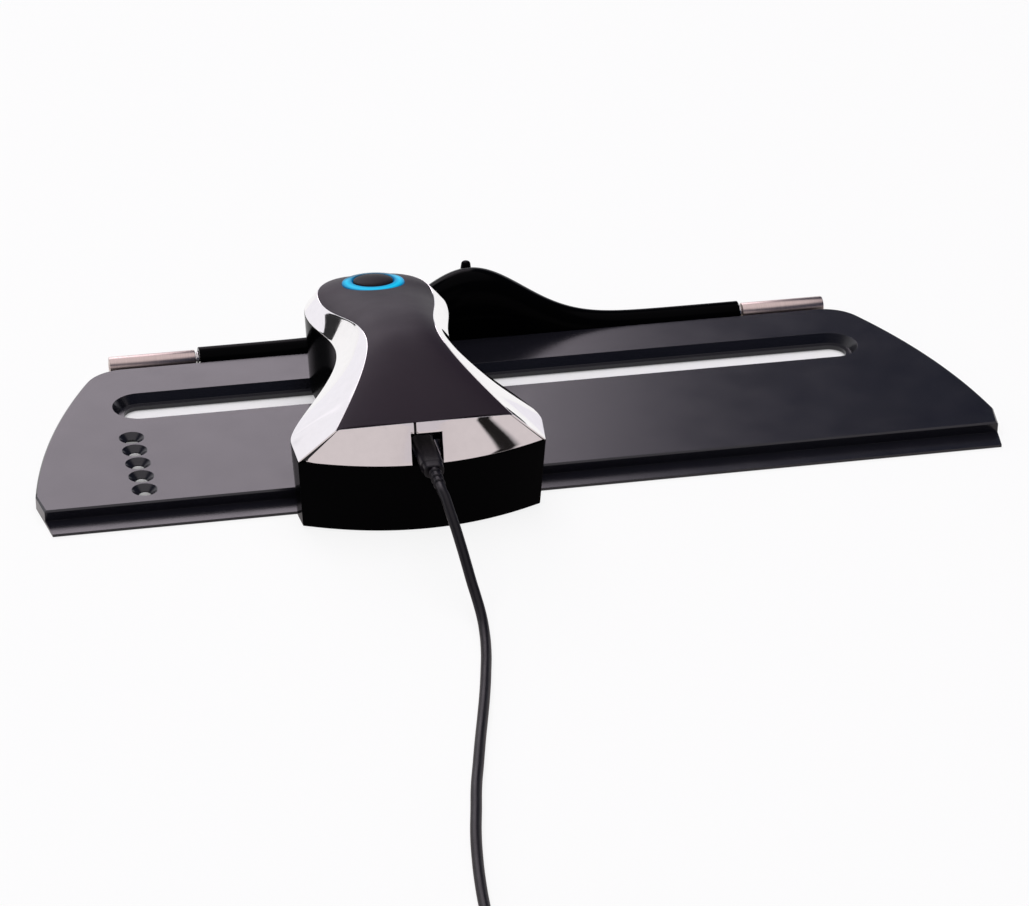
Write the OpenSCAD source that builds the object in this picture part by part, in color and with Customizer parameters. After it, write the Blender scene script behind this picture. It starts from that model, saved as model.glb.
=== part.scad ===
// Strip-reading guide with a rolling bar, and the measuring head that slides along its slot.
// While a piece is drawn, x = 0 is the middle of the plate, v = 0 (along Y) is the centreline
// of the slot and z = 0 is the table. Each finished piece is moved along Y by y_shift, which
// centres the object's box on the origin.

/* [Guide plate] */
// Length of the plate across its widest line
plate_len = 334.4; // [310:0.2:360]
// Length of the plate at its front edge
plate_front_len = 327.2; // [305:0.2:350]
// Slot centreline to the front edge of the plate
plate_front = 79.5; // [76:0.5:95]
// Slot centreline to the rear edge of the plate
plate_rear = 30; // [28:0.5:40]
// Front edge to the widest line
wide_back = 20.5; // [14:0.5:26]
// Radius of the long side arcs
side_r = 240; // [200:5:300]
// Widest line to the line of the side arcs' centres
side_lead = 30.2; // [20:0.2:40]
// Radius of the two rear corners
corner_r = 15; // [8:0.5:20]
// Height of the plate's top face above the table
plate_top = 5.1; // [4.6:0.1:7]
// Gap under the plate, held open by the grip strips
plate_lift = 0.3; // [0.2:0.1:0.5]
// Height of the low front ledge above the table
ledge_top = 1.3; // [1:0.1:2]
// Width of the low front ledge
ledge_w = 9.4; // [6:0.2:12]
// Bevel round the top face
edge_bevel = 0.6; // [0.3:0.1:1]

/* [Slot and sighting holes] */
// Length of the recess round the slot
slot_len = 270; // [250:1:276]
// Width of the recess round the slot
slot_w = 19.6; // [17.5:0.2:21]
// How far the recess wall leans in
slot_bevel = 2; // [1:0.1:2.5]
// Height of the ledge in the recess above the table
slot_floor = 1.9; // [1.5:0.1:2.6]
// Width of the through slot
through_w = 11.6; // [9:0.2:12.4]
// Number of sighting holes
sight_n = 5; // [1:1:5]
// Diameter of a sighting hole at the plate's top face
sight_d = 8.7; // [6:0.1:9]
// Diameter of a sighting hole at its throat
sight_low_d = 4; // [3:0.1:5.6]
// Distance from one sighting hole to the next
sight_pitch = 9.5; // [9.2:0.1:9.8]
// Middle of the plate to the row of sighting holes
sight_x = 131; // [129:0.5:138]
// Slot centreline to the first sighting hole
sight_front = 23.4; // [19:0.2:24]
// Width of the relief under the row of sighting holes
sight_relief_w = 12; // [9.5:0.5:13]
// Height of that relief's roof above the table
sight_relief_top = 2.9; // [1.4:0.1:3.2]

/* [Grip strips] */
// Length of the two rubber strips under the plate
strip_len = 240; // [120:5:244]
// Width of a strip
strip_w = 5; // [3:0.5:5.5]
// Thickness of a strip
strip_t = 0.9; // [0.7:0.1:1.1]
// Top face's front edge to the front strip's centreline
strip_front_in = 6; // [4:0.5:9]
// Recess edge to the rear strip's centreline
strip_rear_in = 4.8; // [4:0.1:5.4]

/* [Rolling bar] */
// Diameter of the two rollers
roller_d = 7; // [6.8:0.1:7.6]
// Length of a roller
roller_len = 30.9; // [20:0.1:34]
// Gap between the axle cover and a roller
roller_gap = 1.4; // [1.2:0.1:3]
// Diameter of the axle
axle_d = 3; // [2.6:0.1:3.1]
// Running clearance of the axle in its bushes, on the radius
axle_clear = 0.05; // [0.02:0.01:0.08]
// Wall of an axle bush
bush_wall = 0.5; // [0.4:0.05:0.6]
// Length of an axle bush and its block
bush_len = 7; // [5:0.5:9]
// Middle of the plate to the inner bushes
bush_inner_x = 46; // [35:1:60]
// Wall of a bearing block round its bush
block_wall = 0.8; // [0.6:0.05:0.9]
// Thickness of the clips on the axle
clip_t = 0.6; // [0.4:0.1:0.8]
// Diameter of the clips on the axle
clip_d = 5.6; // [4.6:0.1:6]

/* [Axle cover and grip] */
// Half length of the axle cover
cover_half = 100; // [96:0.5:106]
// Half depth of the cover's plain arms
cover_r = 5.4; // [5.2:0.1:6.4]
// Height of the cover's plain arms above the axle
cover_up = 4.3; // [4.2:0.1:5.4]
// Wall of the cover
cover_wall = 1.2; // [1:0.05:1.3]
// Gap between the plate's rear edge and the cover
cover_gap = 0.2; // [0.1:0.1:0.4]
// Rise of the bell-shaped grip above the plain arms
grip_h = 20.9; // [18:0.1:26]
// Extra depth of the cover at the grip
grip_depth = 13; // [12.5:0.5:18]
// Spread of the bell, from its middle to where it bends over
grip_spread = 19.5; // [17:0.5:24]
// Thickness of the carrier's base strip
carrier_t = 1.2; // [1:0.1:1.4]
// Width of the carrier's tongues under the plate
tongue_w = 12; // [9:0.5:16]
// Length of a tongue under the plate
tongue_len = 10; // [8:0.5:11]
// Middle of the plate to the inner tongues
tongue_in_x = 30; // [20:1:40]
// Middle of the plate to the outer tongues
tongue_out_x = 80; // [60:1:86]

/* [Roller lock] */
// Diameter of the lock button where it leaves the grip
lock_d = 5.4; // [4.4:0.1:6]
// Diameter of the lock button's tip
lock_tip_d = 3.4; // [2.8:0.1:4]
// How far the button stands above the grip
lock_proud = 3.9; // [2.6:0.1:5]
// Travel of the lock button
lock_travel = 2; // [1:0.1:2.4]
// Rear of the grip to the lock button's axis
lock_back = 6.8; // [6.4:0.1:7.4]
// Diameter of the button's stem
stem_d = 3; // [2.4:0.1:3.4]
// Wire of the lock spring
spring_wire = 0.7; // [0.5:0.05:0.8]
// Turns of the lock spring
spring_turns = 4; // [3:1:5]

/* [Head plan] */
// Middle of the plate to the head's centre, left is negative
head_x = -41.8; // [-80:0.2:80]
// Slot centreline to the head's front
head_front = 100; // [96:0.5:108]
// Width of the head at its front corners
front_w = 83; // [78:0.2:90]
// How far the front bows out between its corners
front_bow = 9.7; // [5:0.1:12]
// Width of the head across its flare
flare_w = 84.8; // [80:0.2:92]
// Front to the widest line of the flare
flare_back = 19.7; // [14:0.1:22]
// Width of the head at its neck
neck_w = 40; // [37:0.2:46]
// Slot centreline to the neck
neck_front = 36; // [30:0.5:42]
// Radius of the round rear of the head
head_r = 25; // [24.4:0.1:26.5]
// Slot centreline to the centre of the round rear
head_round = -2; // [-4:0.2:0]
// How far the side walls lean in down to the base
head_draft = 1.5; // [1:0.1:3]
// Wall of the black shell
shell_wall = 2; // [1.6:0.1:2.4]
// Height of the front skirt's underside above the table
skirt_low = 0.6; // [0.4:0.1:2]
// Clearance between the front skirt and the plate's front edge
skirt_gap = 1; // [0.6:0.1:1.6]

/* [Head heights above the plate] */
// Chrome's lower edge at the front
rim_front_h = 20.5; // [19:0.1:21.5]
// Chrome's lower edge at the flare
rim_flare_h = 22.7; // [21:0.1:24]
// Chrome's lower edge at the neck
rim_neck_h = 32.9; // [30:0.1:35]
// Chrome's lower edge at the sides of the round rear
rim_side_h = 30.5; // [29:0.1:33]
// Chrome's lower edge at the back
rim_rear_h = 29.4; // [28:0.1:31]
// Panel's edge at its front corners
panel_front_h = 32.9; // [32:0.1:35]
// Panel's edge at its waist
panel_waist_h = 45.5; // [43:0.1:48]
// Panel's edge at the sides of the round rear
panel_side_h = 35.9; // [35:0.1:37]
// Panel's edge at the back
panel_rear_h = 33.4; // [32.6:0.1:35]
// Panel's crest at the front
crest_front_h = 34.4; // [34:0.1:36]
// Panel's crest at its waist
crest_waist_h = 47.2; // [46.5:0.1:50]
// Panel's crest at the middle of the light ring
crest_ring_h = 39; // [38.4:0.1:40]

/* [Trim and panel] */
// Width of the top panel at its front corners
panel_front_w = 59; // [54:0.2:64]
// Head's front to the panel's front corners
panel_back = 6; // [4:0.2:8]
// How far the panel's front edge bows out
panel_bow = 2.5; // [0.5:0.1:4]
// Width of the top panel at its waist
panel_waist_w = 24.4; // [22:0.2:28]
// Slot centreline to the panel's waist
panel_waist_front = 53; // [46:0.5:58]
// Radius of the panel's round rear
panel_r = 20; // [19.6:0.1:21]
// Thickness of the top panel
panel_t = 2; // [1.6:0.1:2.4]
// Wall of the chrome trim
trim_wall = 2; // [1.6:0.1:2.4]
// Gap at the seams between trim, panel and shell
seam = 0.2; // [0.1:0.05:0.3]
// Width of the notch for the lead's plug
notch_w = 10.4; // [9.8:0.1:13]
// Height of the notch above the plate
notch_h = 30.7; // [29.6:0.1:31.5]
// Gap between the front trim and the side trim
mitre_gap = 1; // [0.4:0.1:1.4]
// Width of the slit in the front trim above the notch
slit_w = 0.8; // [0.4:0.1:1.2]
// Middle of the head to the slit, left is negative
slit_x = -3.7; // [-4.4:0.1:4.4]

/* [Light ring and button] */
// Outer diameter of the light ring
ring_d = 22; // [21:0.1:23]
// Diameter of the button
button_d = 14; // [12:0.1:15]
// Gap round the button
button_gap = 0.4; // [0.2:0.05:0.6]
// Travel of the button
button_travel = 1; // [0.5:0.1:1.2]
// Rise of the button's dome
button_dome = 0.9; // [0.5:0.1:1.4]
// Slot centreline to the middle of the ring, back is positive
ring_back = 3; // [1:0.2:3.4]
// Tilt of the ring to the rear
ring_tilt = 8; // [6:0.5:9]
// Depth of the light ring below the panel's crest
ring_depth = 5.6; // [5.4:0.1:6]

/* [Head insides] */
// Clearance between the glide pads and the plate
glide_clear = 0.2; // [0.1:0.05:0.3]
// How far the glide pads stand out of the base
glide_proud = 0.6; // [0.4:0.1:0.8]
// Diameter of a glide pad
glide_d = 6; // [5:0.5:6.5]
// Thickness of the base cover
base_t = 2; // [1.6:0.1:2.4]
// Clearance of the nose in the slot, each side
nose_clear = 0.35; // [0.2:0.05:0.5]
// Height of the nose's tip above the table
nose_tip = 1.2; // [0.8:0.1:1.6]
// Diameter of the measuring aperture
aperture_d = 7; // [4:0.5:8]
// Outside diameter of the optics barrel
barrel_d = 15; // [13:0.5:16]
// Bore of the optics barrel
barrel_bore = 9; // [8:0.5:10]
// Thickness of the lens
lens_t = 2; // [1.5:0.1:3]
// Thickness of the circuit boards
board_t = 1.6; // [1.2:0.1:2]
// Diameter of the fixing screws' shanks
screw_d = 2.2; // [1.8:0.1:2.4]
// Diameter of the fixing screws' heads
screw_head_d = 4.2; // [3.6:0.1:4.4]

/* [Lead] */
// Diameter of the lead
cord_d = 3.4; // [3:0.1:4.2]
// Gap between the shell's front edge and the plug's underside
plug_rise = 0.4; // [0.2:0.1:1.6]
// Width of the plug's moulding
plug_w = 7.4; // [7:0.1:9.4]
// Height of the plug's moulding
plug_tall = 5.2; // [4.6:0.1:7]
// Length of the plug's moulding
plug_len = 22; // [20:0.5:24]
// Length of the ribbed strain relief
relief_len = 10; // [8:0.5:14]
// Number of ribs on the strain relief
relief_ribs = 3; // [2:1:6]
// Radius of the coil's outermost turn
coil_r = 35.5; // [34:0.5:40]
// Distance from one turn to the next, across and up
coil_pitch = 4.5; // [4.45:0.05:4.8]
// Thickness of the coil's tie
tie_t = 0.8; // [0.5:0.1:1]
// Width of the coil's tie
tie_w = 10; // [6:0.5:14]

/* [Hidden] */

$fn = 48;
fine_fn = 64;
over = 1;                         // how far a cutter runs past a face
fit_gap = 0.2;                    // room round pieces that drop into a pocket
slide_gap = 0.3;                  // room round pieces that slide
black_gloss = [0.05, 0.05, 0.055];
plate_black = [0.16, 0.16, 0.17];
charcoal = [0.22, 0.21, 0.23];
chrome = [0.82, 0.81, 0.81];
steel = [0.66, 0.65, 0.64];
warm_steel = [0.72, 0.67, 0.62];
rubber_black = [0.08, 0.08, 0.08];
board_green = [0.1, 0.35, 0.2];

// Plate
half_len = plate_len / 2;
front_half = plate_front_len / 2;
wide_v = wide_back - plate_front;
arc_v = wide_v - side_lead;
arc_x = half_len - sqrt(side_r * side_r - side_lead * side_lead);
fillet_v = plate_rear - corner_r;
fillet_x = arc_x + sqrt(pow(side_r - corner_r, 2) - pow(fillet_v - arc_v, 2));
step_v = ledge_w - plate_front;
slot_end = (slot_len - slot_w) / 2;
sight_run = (sight_n - 1) * sight_pitch;
sight_land = 0.3;                 // straight part of a sighting hole's throat
sight_dish = plate_top - sight_relief_top - sight_land;
strip_vs = [step_v + strip_front_in, slot_w / 2 + strip_rear_in];

// Rolling bar and its cover
axle_v = plate_rear + cover_gap + cover_r;
axle_z = roller_d / 2;
bush_r = axle_d / 2 + axle_clear + bush_wall;
block_r = bush_r + block_wall;
bush_end_in = 0.5;                // end bushes to the ends of the cover
bush_outer_x = cover_half - bush_len / 2 - bush_end_in;
bush_xs = [-bush_outer_x, -bush_inner_x, bush_inner_x, bush_outer_x];
clip_gap = 0.3;                   // cover to clip
axle_short = 0.5;                 // axle's end inside the roller's end
roller_in = cover_half + roller_gap;
roller_out = roller_in + roller_len;
cover_front = axle_v - cover_r;
cover_rear = axle_v + cover_r + grip_depth;
carrier_top = plate_lift + carrier_t;
carrier_half = cover_r - cover_wall - fit_gap / 2;
platform_w = 13;                  // width of the carrier under the lock
tongue_top = carrier_top + fit_gap;
flat_head_t = 0.8;                // head of a screw under the plate
plate_skin = 0.9;                 // plate left above a screw
tongue_xs = [-tongue_out_x, -tongue_in_x, tongue_in_x, tongue_out_x];
tongue_front = plate_rear - tongue_len;
tongue_screw_v = plate_rear - tongue_len / 2;

// Roller lock
lock_v = cover_rear - lock_back;
collar_r = 3.6;
collar_t = 1.6;
collar_drop = 4;                  // cover's surface to the collar's top
collar_top = cover_z(0, lock_v + collar_r) - collar_drop;
arm_t = 2.4;
arm_top = collar_top - collar_t;
pad_t = 1.4;
pad_gap = 0.1;                    // pad to axle with the lock pressed
pad_low = axle_z + axle_d / 2 + lock_travel + pad_gap;
arm_half = 2.5;
guide_h = 4;
guide_wall = 1.6;
guide_top = carrier_top + guide_h;
guide_r = stem_d / 2 + slide_gap + guide_wall;
stem_low = carrier_top + lock_travel + 2 * fit_gap;

// Head
head_low = plate_top + glide_clear + glide_proud;
base_top = head_low + base_t;
low_corner = [front_w / 2, front_bow - head_front, above(rim_front_h)];
low_flare = [flare_w / 2, flare_back - head_front, above(rim_flare_h)];
low_neck = [neck_w / 2, -neck_front, above(rim_neck_h)];
low_side = [head_r, head_round, above(rim_side_h)];
pan_corner = [panel_front_w / 2, panel_back - head_front, above(panel_front_h)];
pan_waist = [panel_waist_w / 2, -panel_waist_front, above(panel_waist_h)];
pan_side = [panel_r, 0, above(panel_side_h)];
flare_turn = [0, 0, 2];           // how the chrome's lower edge sets off from the flare
corner_turn = [-8.5, 0, 5.7];     // how the panel's edge sets off from its front corner
crest_front = [0, pan_corner[1] - panel_bow, above(crest_front_h)];
crest_waist = [0, -panel_waist_front, above(crest_waist_h)];
crest_ring = [0, ring_back, above(crest_ring_h)];
crest_rear = [0, panel_r, above(panel_rear_h)];
crest_turn = [0, 0, 6.5];         // how the crest sets off from the front
rear_hold = 0.67;                 // how long the crest keeps the ring's tilt on its way to the rear
rear_turn = [0, 0, -rear_hold * (crest_rear[1] - crest_ring[1]) * tan(ring_tilt)];
dome_power = 3;                   // flatness of the panel across its width
curve_n = 12;
flank_n = 24;
rear_n = 10;
front_n = 16;
across_n = 10;
low_curve = concat([low_corner], samples(flow(low_flare, low_neck, 0.2, 0.45, flare_turn)),
  samples(flow(low_neck, low_side, 0.35, 0.35)));
pan_curve = concat(samples(flow(pan_corner, pan_waist, 0.32, 0.32, corner_turn)),
  samples(flow(pan_waist, pan_side, 0.34, 0.34)));
crest_curve = concat(samples(flow(crest_front, crest_waist, 0.31, 0.32, crest_turn)),
  samples(flow(crest_waist, crest_ring, 0.33, 0.33, [0, 0, 0], ring_tilt)),
  samples(flow(crest_ring, crest_rear, rear_hold, 0, rear_turn)));
trim_lean = 1.4;                  // how far the trim's upper end leans in under the panel
trim_drop = 1.6;                  // and how far it drops there
panel_lean = 0.5;                 // panel's lower edge inside that of the trim
panel_last = 87;                  // angle of the panel's last row round its rear

// Inside the head
boss_r = 3;
boss_h = 14;
boss_skin = 2;                    // boss left above its screw
boss_web = 2;                     // thickness of the web from a boss to the wall
boss_web_h = 8;
boss_back = 4;                    // flare to the front bosses
boss_ahead = 10;                  // centre of the round rear to the rear bosses
boss_top = head_low + boss_h;
boss_to_face = screw_head_d / 2 + fit_gap + 2 * seam;
boss_to_wall = boss_to_face + 0.9 * shell_wall;
boss_vs = [low_flare[1] + boss_back, head_round - boss_ahead];
base_head_t = 1;                  // head of a screw under the base
plug_z = low_corner[2] - seam + plug_rise + plug_tall / 2;
socket_w = 7.8;
socket_tall = 4;
socket_len = 9;
board_top = plug_z - socket_tall / 2;
board_low = board_top - board_t;
board_back = 13.5;                // head's front to the board's front edge
board_front = board_back - head_front;
board_w = 52;
board_wide_len = 20;
board_neck_w = 26;
board_round = 15;
board_grip = 6;                   // board screw in its post
board_head_t = 1.2;
board_posts = [[-20, board_front + 9], [20, board_front + 9], [-9, -24], [9, -24]];
post_r = 2.6;
flange_t = 1.5;
nose_r = through_w / 2 - nose_clear;
flange_r = barrel_d / 2;
barrel_low = base_top + flange_t;
chip_t = 1.2;
pad_rear_v = slot_w / 2 + glide_d / 2 + fit_gap;
pad_spots = [[-20, step_v + 9], [20, step_v + 9], [-5, pad_rear_v], [5, pad_rear_v]];
liner_wall = 1.6;
plug_gap = 0.4;                   // room round the plug
liner_back = board_front - slide_gap;
liner_front = pan_corner[1] - panel_bow + trim_wall + plug_gap;

// Light ring and button, measured along the tilted axis from the panel's crest
ring_in_d = button_d + 2 * button_gap;
ring_flange_r = ring_d / 2 + 1.6;
ring_flange_t = 1.2;
cap_flange_r = ring_in_d / 2 + 0.8;
cap_flange_t = 1;
cap_flange_top = -ring_depth - 0.3;
cap_stem_r = 2;
cap_stem_low = cap_flange_top - cap_flange_t - 1.2;
switch_top = cap_stem_low - button_travel - 0.1;
switch_t = 3.4;
ring_board_top = switch_top - switch_t;
ring_post_r = 1.8;
ring_post_at = ring_flange_r + ring_post_r + slide_gap;
ring_board_r = ring_post_at + ring_post_r + slide_gap;
ring_posts = [30, 150, 270];      // angles of the posts of the ring's board
ring_rise = 0.5;                  // light ring's inner edge above the panel's crest
cap_edge = 0.7;                   // edge of the button's dome above the panel's crest
ring_led_n = 6;
ring_led_at = (ring_d + ring_in_d) / 4;

// Whole object
y_shift = (max(head_front, plate_front) - cover_rear) / 2;

// Lead: where it starts, its route over the table, and its coil
plug_round = 1.8;                 // edges of the plug's moulding
plug_step = 0.6;                  // how much narrower its end is
plug_step_len = 3.4;
relief_root = 0.6;                // strain relief's wall at the plug
relief_tip = 0.3;                 // and at its free end
relief_v = liner_back - liner_wall - slide_gap - plug_len;
cord_start = [head_x, relief_v - relief_len + y_shift, plug_z];
cord_lift = 0.05;                 // lead's underside above the table
cord_lie = cord_d / 2 + cord_lift;
coil_mid = [-32.5, -346];
coil_turns = 10.25;
coil_low = cord_lie + tie_t + fit_gap / 2;
coil_rings = 24;
coil_entry = [coil_mid[0] - coil_r, coil_mid[1] + cord_d, coil_low];
coil_exit = [coil_mid[0] + cord_d, coil_mid[1] - coil_r, coil_low + coil_pitch];
lead_route = [cord_start, cord_start - [0, cord_d, 0],
  [-41.4, -104, 27.7], [-40.9, -109, 25.4], [-40.1, -114, 22.2], [-39.3, -119, 18.4], [-38.5, -124, 14.2],
  [-37.8, -129, 10.2], [-37.1, -134, 6.8], [-36.8, -140, 4], [-37.3, -147, 2.4], [-38.8, -157, cord_lie],
  [-41.3, -169, cord_lie], [-44.3, -182, cord_lie], [-47.6, -195, cord_lie], [-51, -208, cord_lie],
  [-54, -220, cord_lie], [-57, -232, cord_lie], [-59.5, -244, cord_lie], [-62, -256, cord_lie],
  [-64, -268, cord_lie], [-65.6, -280, cord_lie], [-66.8, -292, cord_lie], [-67.6, -304, cord_lie],
  [-68, -316, 2.2], [-68, -328, 2.6], coil_entry + [0, cord_d, 0], coil_entry];
usb_z = 4.2;
tail_end = [-4, coil_mid[1] - coil_r, usb_z];
tail_route = [coil_exit, coil_exit + [cord_d, 0, 0], [-19, -381.5, 6.4], [-13, -381.5, 5],
  tail_end - [cord_d, 0, 0], tail_end];
usb_relief_len = 9;
usb_relief_root = 1.6;
usb_relief_tip = 0.5;
usb_len = 27;
usb_w = 16;
usb_tall = 8;
usb_shell_len = 13;
usb_shell_w = 12;
usb_shell_tall = 4.5;
usb_shell_wall = 0.4;

// Curves and rings of points

function above(h) = plate_top + h;

// A cubic curve through four control points
function bez(c, t) = c[0] * pow(1 - t, 3) + c[1] * 3 * t * pow(1 - t, 2)
  + c[2] * 3 * t * t * (1 - t) + c[3] * pow(t, 3);

// Control points from a to b: both ends run along v, turn bends the first and slope the last
function flow(a, b, ha, hb, turn = [0, 0, 0], slope = 0) = let (run = b[1] - a[1])
  [a, a + turn + [0, ha * run, 0], b - [0, hb * run, -hb * run * tan(slope)], b];

function samples(c) = [for (i = [0:curve_n]) bez(c, i / curve_n)];

// Half width and height of a sampled edge at depth v
function at_v(edge, v) =
  [lookup(v, [for (p = edge) [p[1], p[0]]]), v, lookup(v, [for (p = edge) [p[1], p[2]]])];

// Right half of an edge, from its front corner to its middle at the back, drawn in by inset
function half_edge(curve, side, rear_z, inset, last = 90) = let (first = curve[0][1] + inset) concat(
  [for (i = [0:flank_n]) let (p = at_v(curve, first + (side[1] - first) * i / flank_n)) p - [inset, 0, 0]],
  [for (i = [1:rear_n]) let (a = last * i / rear_n, r = side[0] - inset)
    [r * cos(a), side[1] + r * sin(a), side[2] + (rear_z - side[2]) * (1 - cos(a))]]);

function low_half(inset) = half_edge(low_curve, low_side, above(rim_rear_h), inset);
function pan_half(inset, last = 90) = half_edge(pan_curve, pan_side, above(panel_rear_h), inset, last);

// Both halves of an edge, right front corner to left front corner round the back
function around(e) = concat(e, [for (i = [len(e) - 2:-1:0]) [-e[i][0], e[i][1], e[i][2]]]);

// Front edge from left to right, without its two ends unless they are asked for
function front_edge(corner, bow, rise, inset, ends = 0, short = 0) =
  [for (i = [1 - ends:front_n - 1 + ends]) let (s = -1 + 2 * i / front_n)
    [s * (corner[0] - inset - short), corner[1] + inset - bow * (1 - s * s),
      corner[2] + rise * (1 - s * s)]];

function low_ring(inset) = concat(around(low_half(inset)), front_edge(low_corner, front_bow, 0, inset));
function level(ring, z) = [for (p = ring) [p[0], p[1], z]];
function high_as(ring, top) = [for (i = [0:len(ring) - 1]) [ring[i][0], ring[i][1], top[i][2]]];
function drop(ring, dz) = [for (p = ring) p - [0, 0, dz]];
function flat(ring) = [for (p = ring) [p[0], p[1]]];
function pairs(a, b) = [for (i = [0:len(a) - 1]) [a[i], b[i]]];
function unit(p) = p / norm(p);
function run_of(p, i = 0) = i > len(p) - 2 ? 0 : norm(p[i + 1] - p[i]) + run_of(p, i + 1);

// The cover's bell, its depth and height, and its surface
function bell(x) = exp(-x * x / (2 * grip_spread * grip_spread));
function cover_depth(x) = 2 * cover_r + grip_depth * bell(x);
function cover_tall(x) = axle_z + cover_up + grip_h * bell(x) - plate_lift;
function cover_lean(x) = 1 + 0.5 * bell(x);
function cover_z(x, v) = let (c = 1 - 2 * pow((v - cover_front) / cover_depth(x), 1 / cover_lean(x)))
  plate_lift + cover_tall(x) * pow(1 - c * c, 0.4);
cover_fan = 14;
cover_steps = 40;
function cover_section(x, inset) = [for (i = [0:cover_fan]) let (a = 180 * i / cover_fan)
  [x, cover_front + inset + (cover_depth(x) - 2 * inset) * pow((1 - cos(a)) / 2, cover_lean(x)),
    plate_lift + (cover_tall(x) - inset) * pow(max(sin(a), 0), 0.8)]];

// The coil: in on the lower layer, out on the upper one, climbing where the spiral turns back
coil_last = coil_turns * coil_rings;
function coil_point(i) = let (
  half = coil_turns / 2,
  turn = i / coil_rings,
  r = coil_r - coil_pitch * (half - abs(turn - half)),
  climb = min(max((turn - half) * 2 + 0.5, 0), 1),
  a = 180 + 360 * turn)
  [coil_mid[0] + r * cos(a), coil_mid[1] + r * sin(a), coil_low + coil_pitch * climb];
coil_route = concat([coil_entry], [for (i = [0:coil_last]) coil_point(i)], [coil_exit]);
coil_gap = min([for (i = [0:len(coil_route) - 1]) for (j = [i + 14:1:len(coil_route) - 1])
  norm(coil_route[i] - coil_route[j])]) - cord_d;
union() {  // cord_coil
  echo(least_coil_gap = coil_gap);
  echo(lead = run_of(lead_route), coil = run_of(coil_route), tail = run_of(tail_route));
}

// Shared shapes

module placed() { translate([0, y_shift, 0]) children(); }
module in_head() { translate([head_x, y_shift, 0]) children(); }
module on_ring() { in_head() translate(crest_ring) rotate([-ring_tilt, 0, 0]) children(); }
module along_x() { rotate([0, 90, 0]) children(); }

// A wall between two nets of points: outer[k] and inner[k] are its sections
module skin(outer, inner, closed = false) {
  k = len(outer);
  n = len(outer[0]);
  function o(a, b) = (a % k) * n + b;
  function q(a, b) = k * n + (a % k) * n + b;
  function quad(a, b, c, d) = [[a, b, c], [a, c, d]];
  spans = [0:(closed ? k - 1 : k - 2)];
  sides = [
    for (a = spans) for (b = [0:n - 2]) each quad(o(a, b), o(a, b + 1), o(a + 1, b + 1), o(a + 1, b)),
    for (a = spans) for (b = [0:n - 2]) each quad(q(a, b), q(a + 1, b), q(a + 1, b + 1), q(a, b + 1)),
    for (a = spans) each quad(o(a, n - 1), q(a, n - 1), q(a + 1, n - 1), o(a + 1, n - 1)),
    for (a = spans) each quad(o(a, 0), o(a + 1, 0), q(a + 1, 0), q(a, 0))];
  caps = [for (b = [0:n - 2]) each concat(
    quad(o(0, b), q(0, b), q(0, b + 1), o(0, b + 1)),
    quad(o(k - 1, b), o(k - 1, b + 1), q(k - 1, b + 1), q(k - 1, b)))];
  polyhedron(points = concat([for (s = outer) each s], [for (s = inner) each s]),
    faces = closed ? sides : concat(sides, caps));
}

// A tube swept along a route, with flat ends square to its first and last stretch
module sweep(route, r, sides) {
  n = len(route);
  function ahead(i) = unit(route[min(i + 1, n - 1)] - route[max(i - 1, 0)]);
  function ring(i) = let (t = ahead(i), s = unit(cross(t, [0, 0, 1])), u = cross(s, t))
    [for (j = [0:sides - 1]) let (a = 360 * (j + 0.5) / sides) route[i] + r * (cos(a) * s + sin(a) * u)];
  function at(i, j) = i * sides + j % sides;
  polyhedron(points = [for (i = [0:n - 1]) each ring(i)], faces = [
    for (i = [0:n - 2]) for (j = [0:sides - 1]) each [
      [at(i, j), at(i, j + 1), at(i + 1, j + 1)], [at(i, j), at(i + 1, j + 1), at(i + 1, j)]],
    for (j = [1:sides - 2]) each [
      [at(0, 0), at(0, j + 1), at(0, j)], [at(n - 1, 0), at(n - 1, j), at(n - 1, j + 1)]]]);
}

// A rod along X with chamfered ends and an optional bore
module turned(x0, x1, r, bore = 0, chamfer = 0.4) {
  translate([x0, 0, 0]) along_x() rotate_extrude($fn = fine_fn) polygon([[bore, 0], [r - chamfer, 0],
    [r, chamfer], [r, x1 - x0 - chamfer], [r - chamfer, x1 - x0], [bore, x1 - x0]]);
}

// A box with rounded upright corners, centred on x and v
module pad_box(w, d, h, r) {
  linear_extrude(h) union() {
    square([w - 2 * r, d], center = true);
    square([w, d - 2 * r], center = true);
    for (sx = [-1, 1]) for (sy = [-1, 1]) translate([sx * (w / 2 - r), sy * (d / 2 - r)]) circle(r);
  }
}

// A box standing on z = 0 that runs along v from v0 to v1, centred on x
module bar(w, v0, v1, z0, z1) { translate([-w / 2, v0, z0]) cube([w, v1 - v0, z1 - z0]); }

// A screw with its head down at z0 and its tip up at z1
module screw(z0, z1, head_t) {
  translate([0, 0, z0]) difference() {
    cylinder(h = head_t, d = screw_head_d);
    translate([0, 0, -over]) cylinder(h = over + head_t / 2, d = screw_head_d / 2.4, $fn = 6);
  }
  translate([0, 0, z0 + head_t]) cylinder(h = z1 - z0 - head_t, d = screw_d);
}

// Guide plate

function front_x(v) = front_half + (half_len - front_half) * (v + plate_front) / wide_back;

function plate_half(inset, front_v) = let (a0 = asin(side_lead / side_r),
  a1 = atan2(fillet_v - arc_v, fillet_x - arc_x)) concat(
  [[front_x(front_v) - inset, front_v + inset], [half_len - inset, wide_v]],
  [for (i = [1:12]) let (a = a0 + (a1 - a0) * i / 12)
    [arc_x + (side_r - inset) * cos(a), arc_v + (side_r - inset) * sin(a)]],
  [for (i = [1:8]) let (a = a1 + (90 - a1) * i / 8)
    [fillet_x + (corner_r - inset) * cos(a), fillet_v + (corner_r - inset) * sin(a)]]);

module plate_shape(inset, front_v) {
  h = plate_half(inset, front_v);
  polygon(concat(h, [for (i = [len(h) - 1:-1:0]) [-h[i][0], h[i][1]]]));
}

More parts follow.
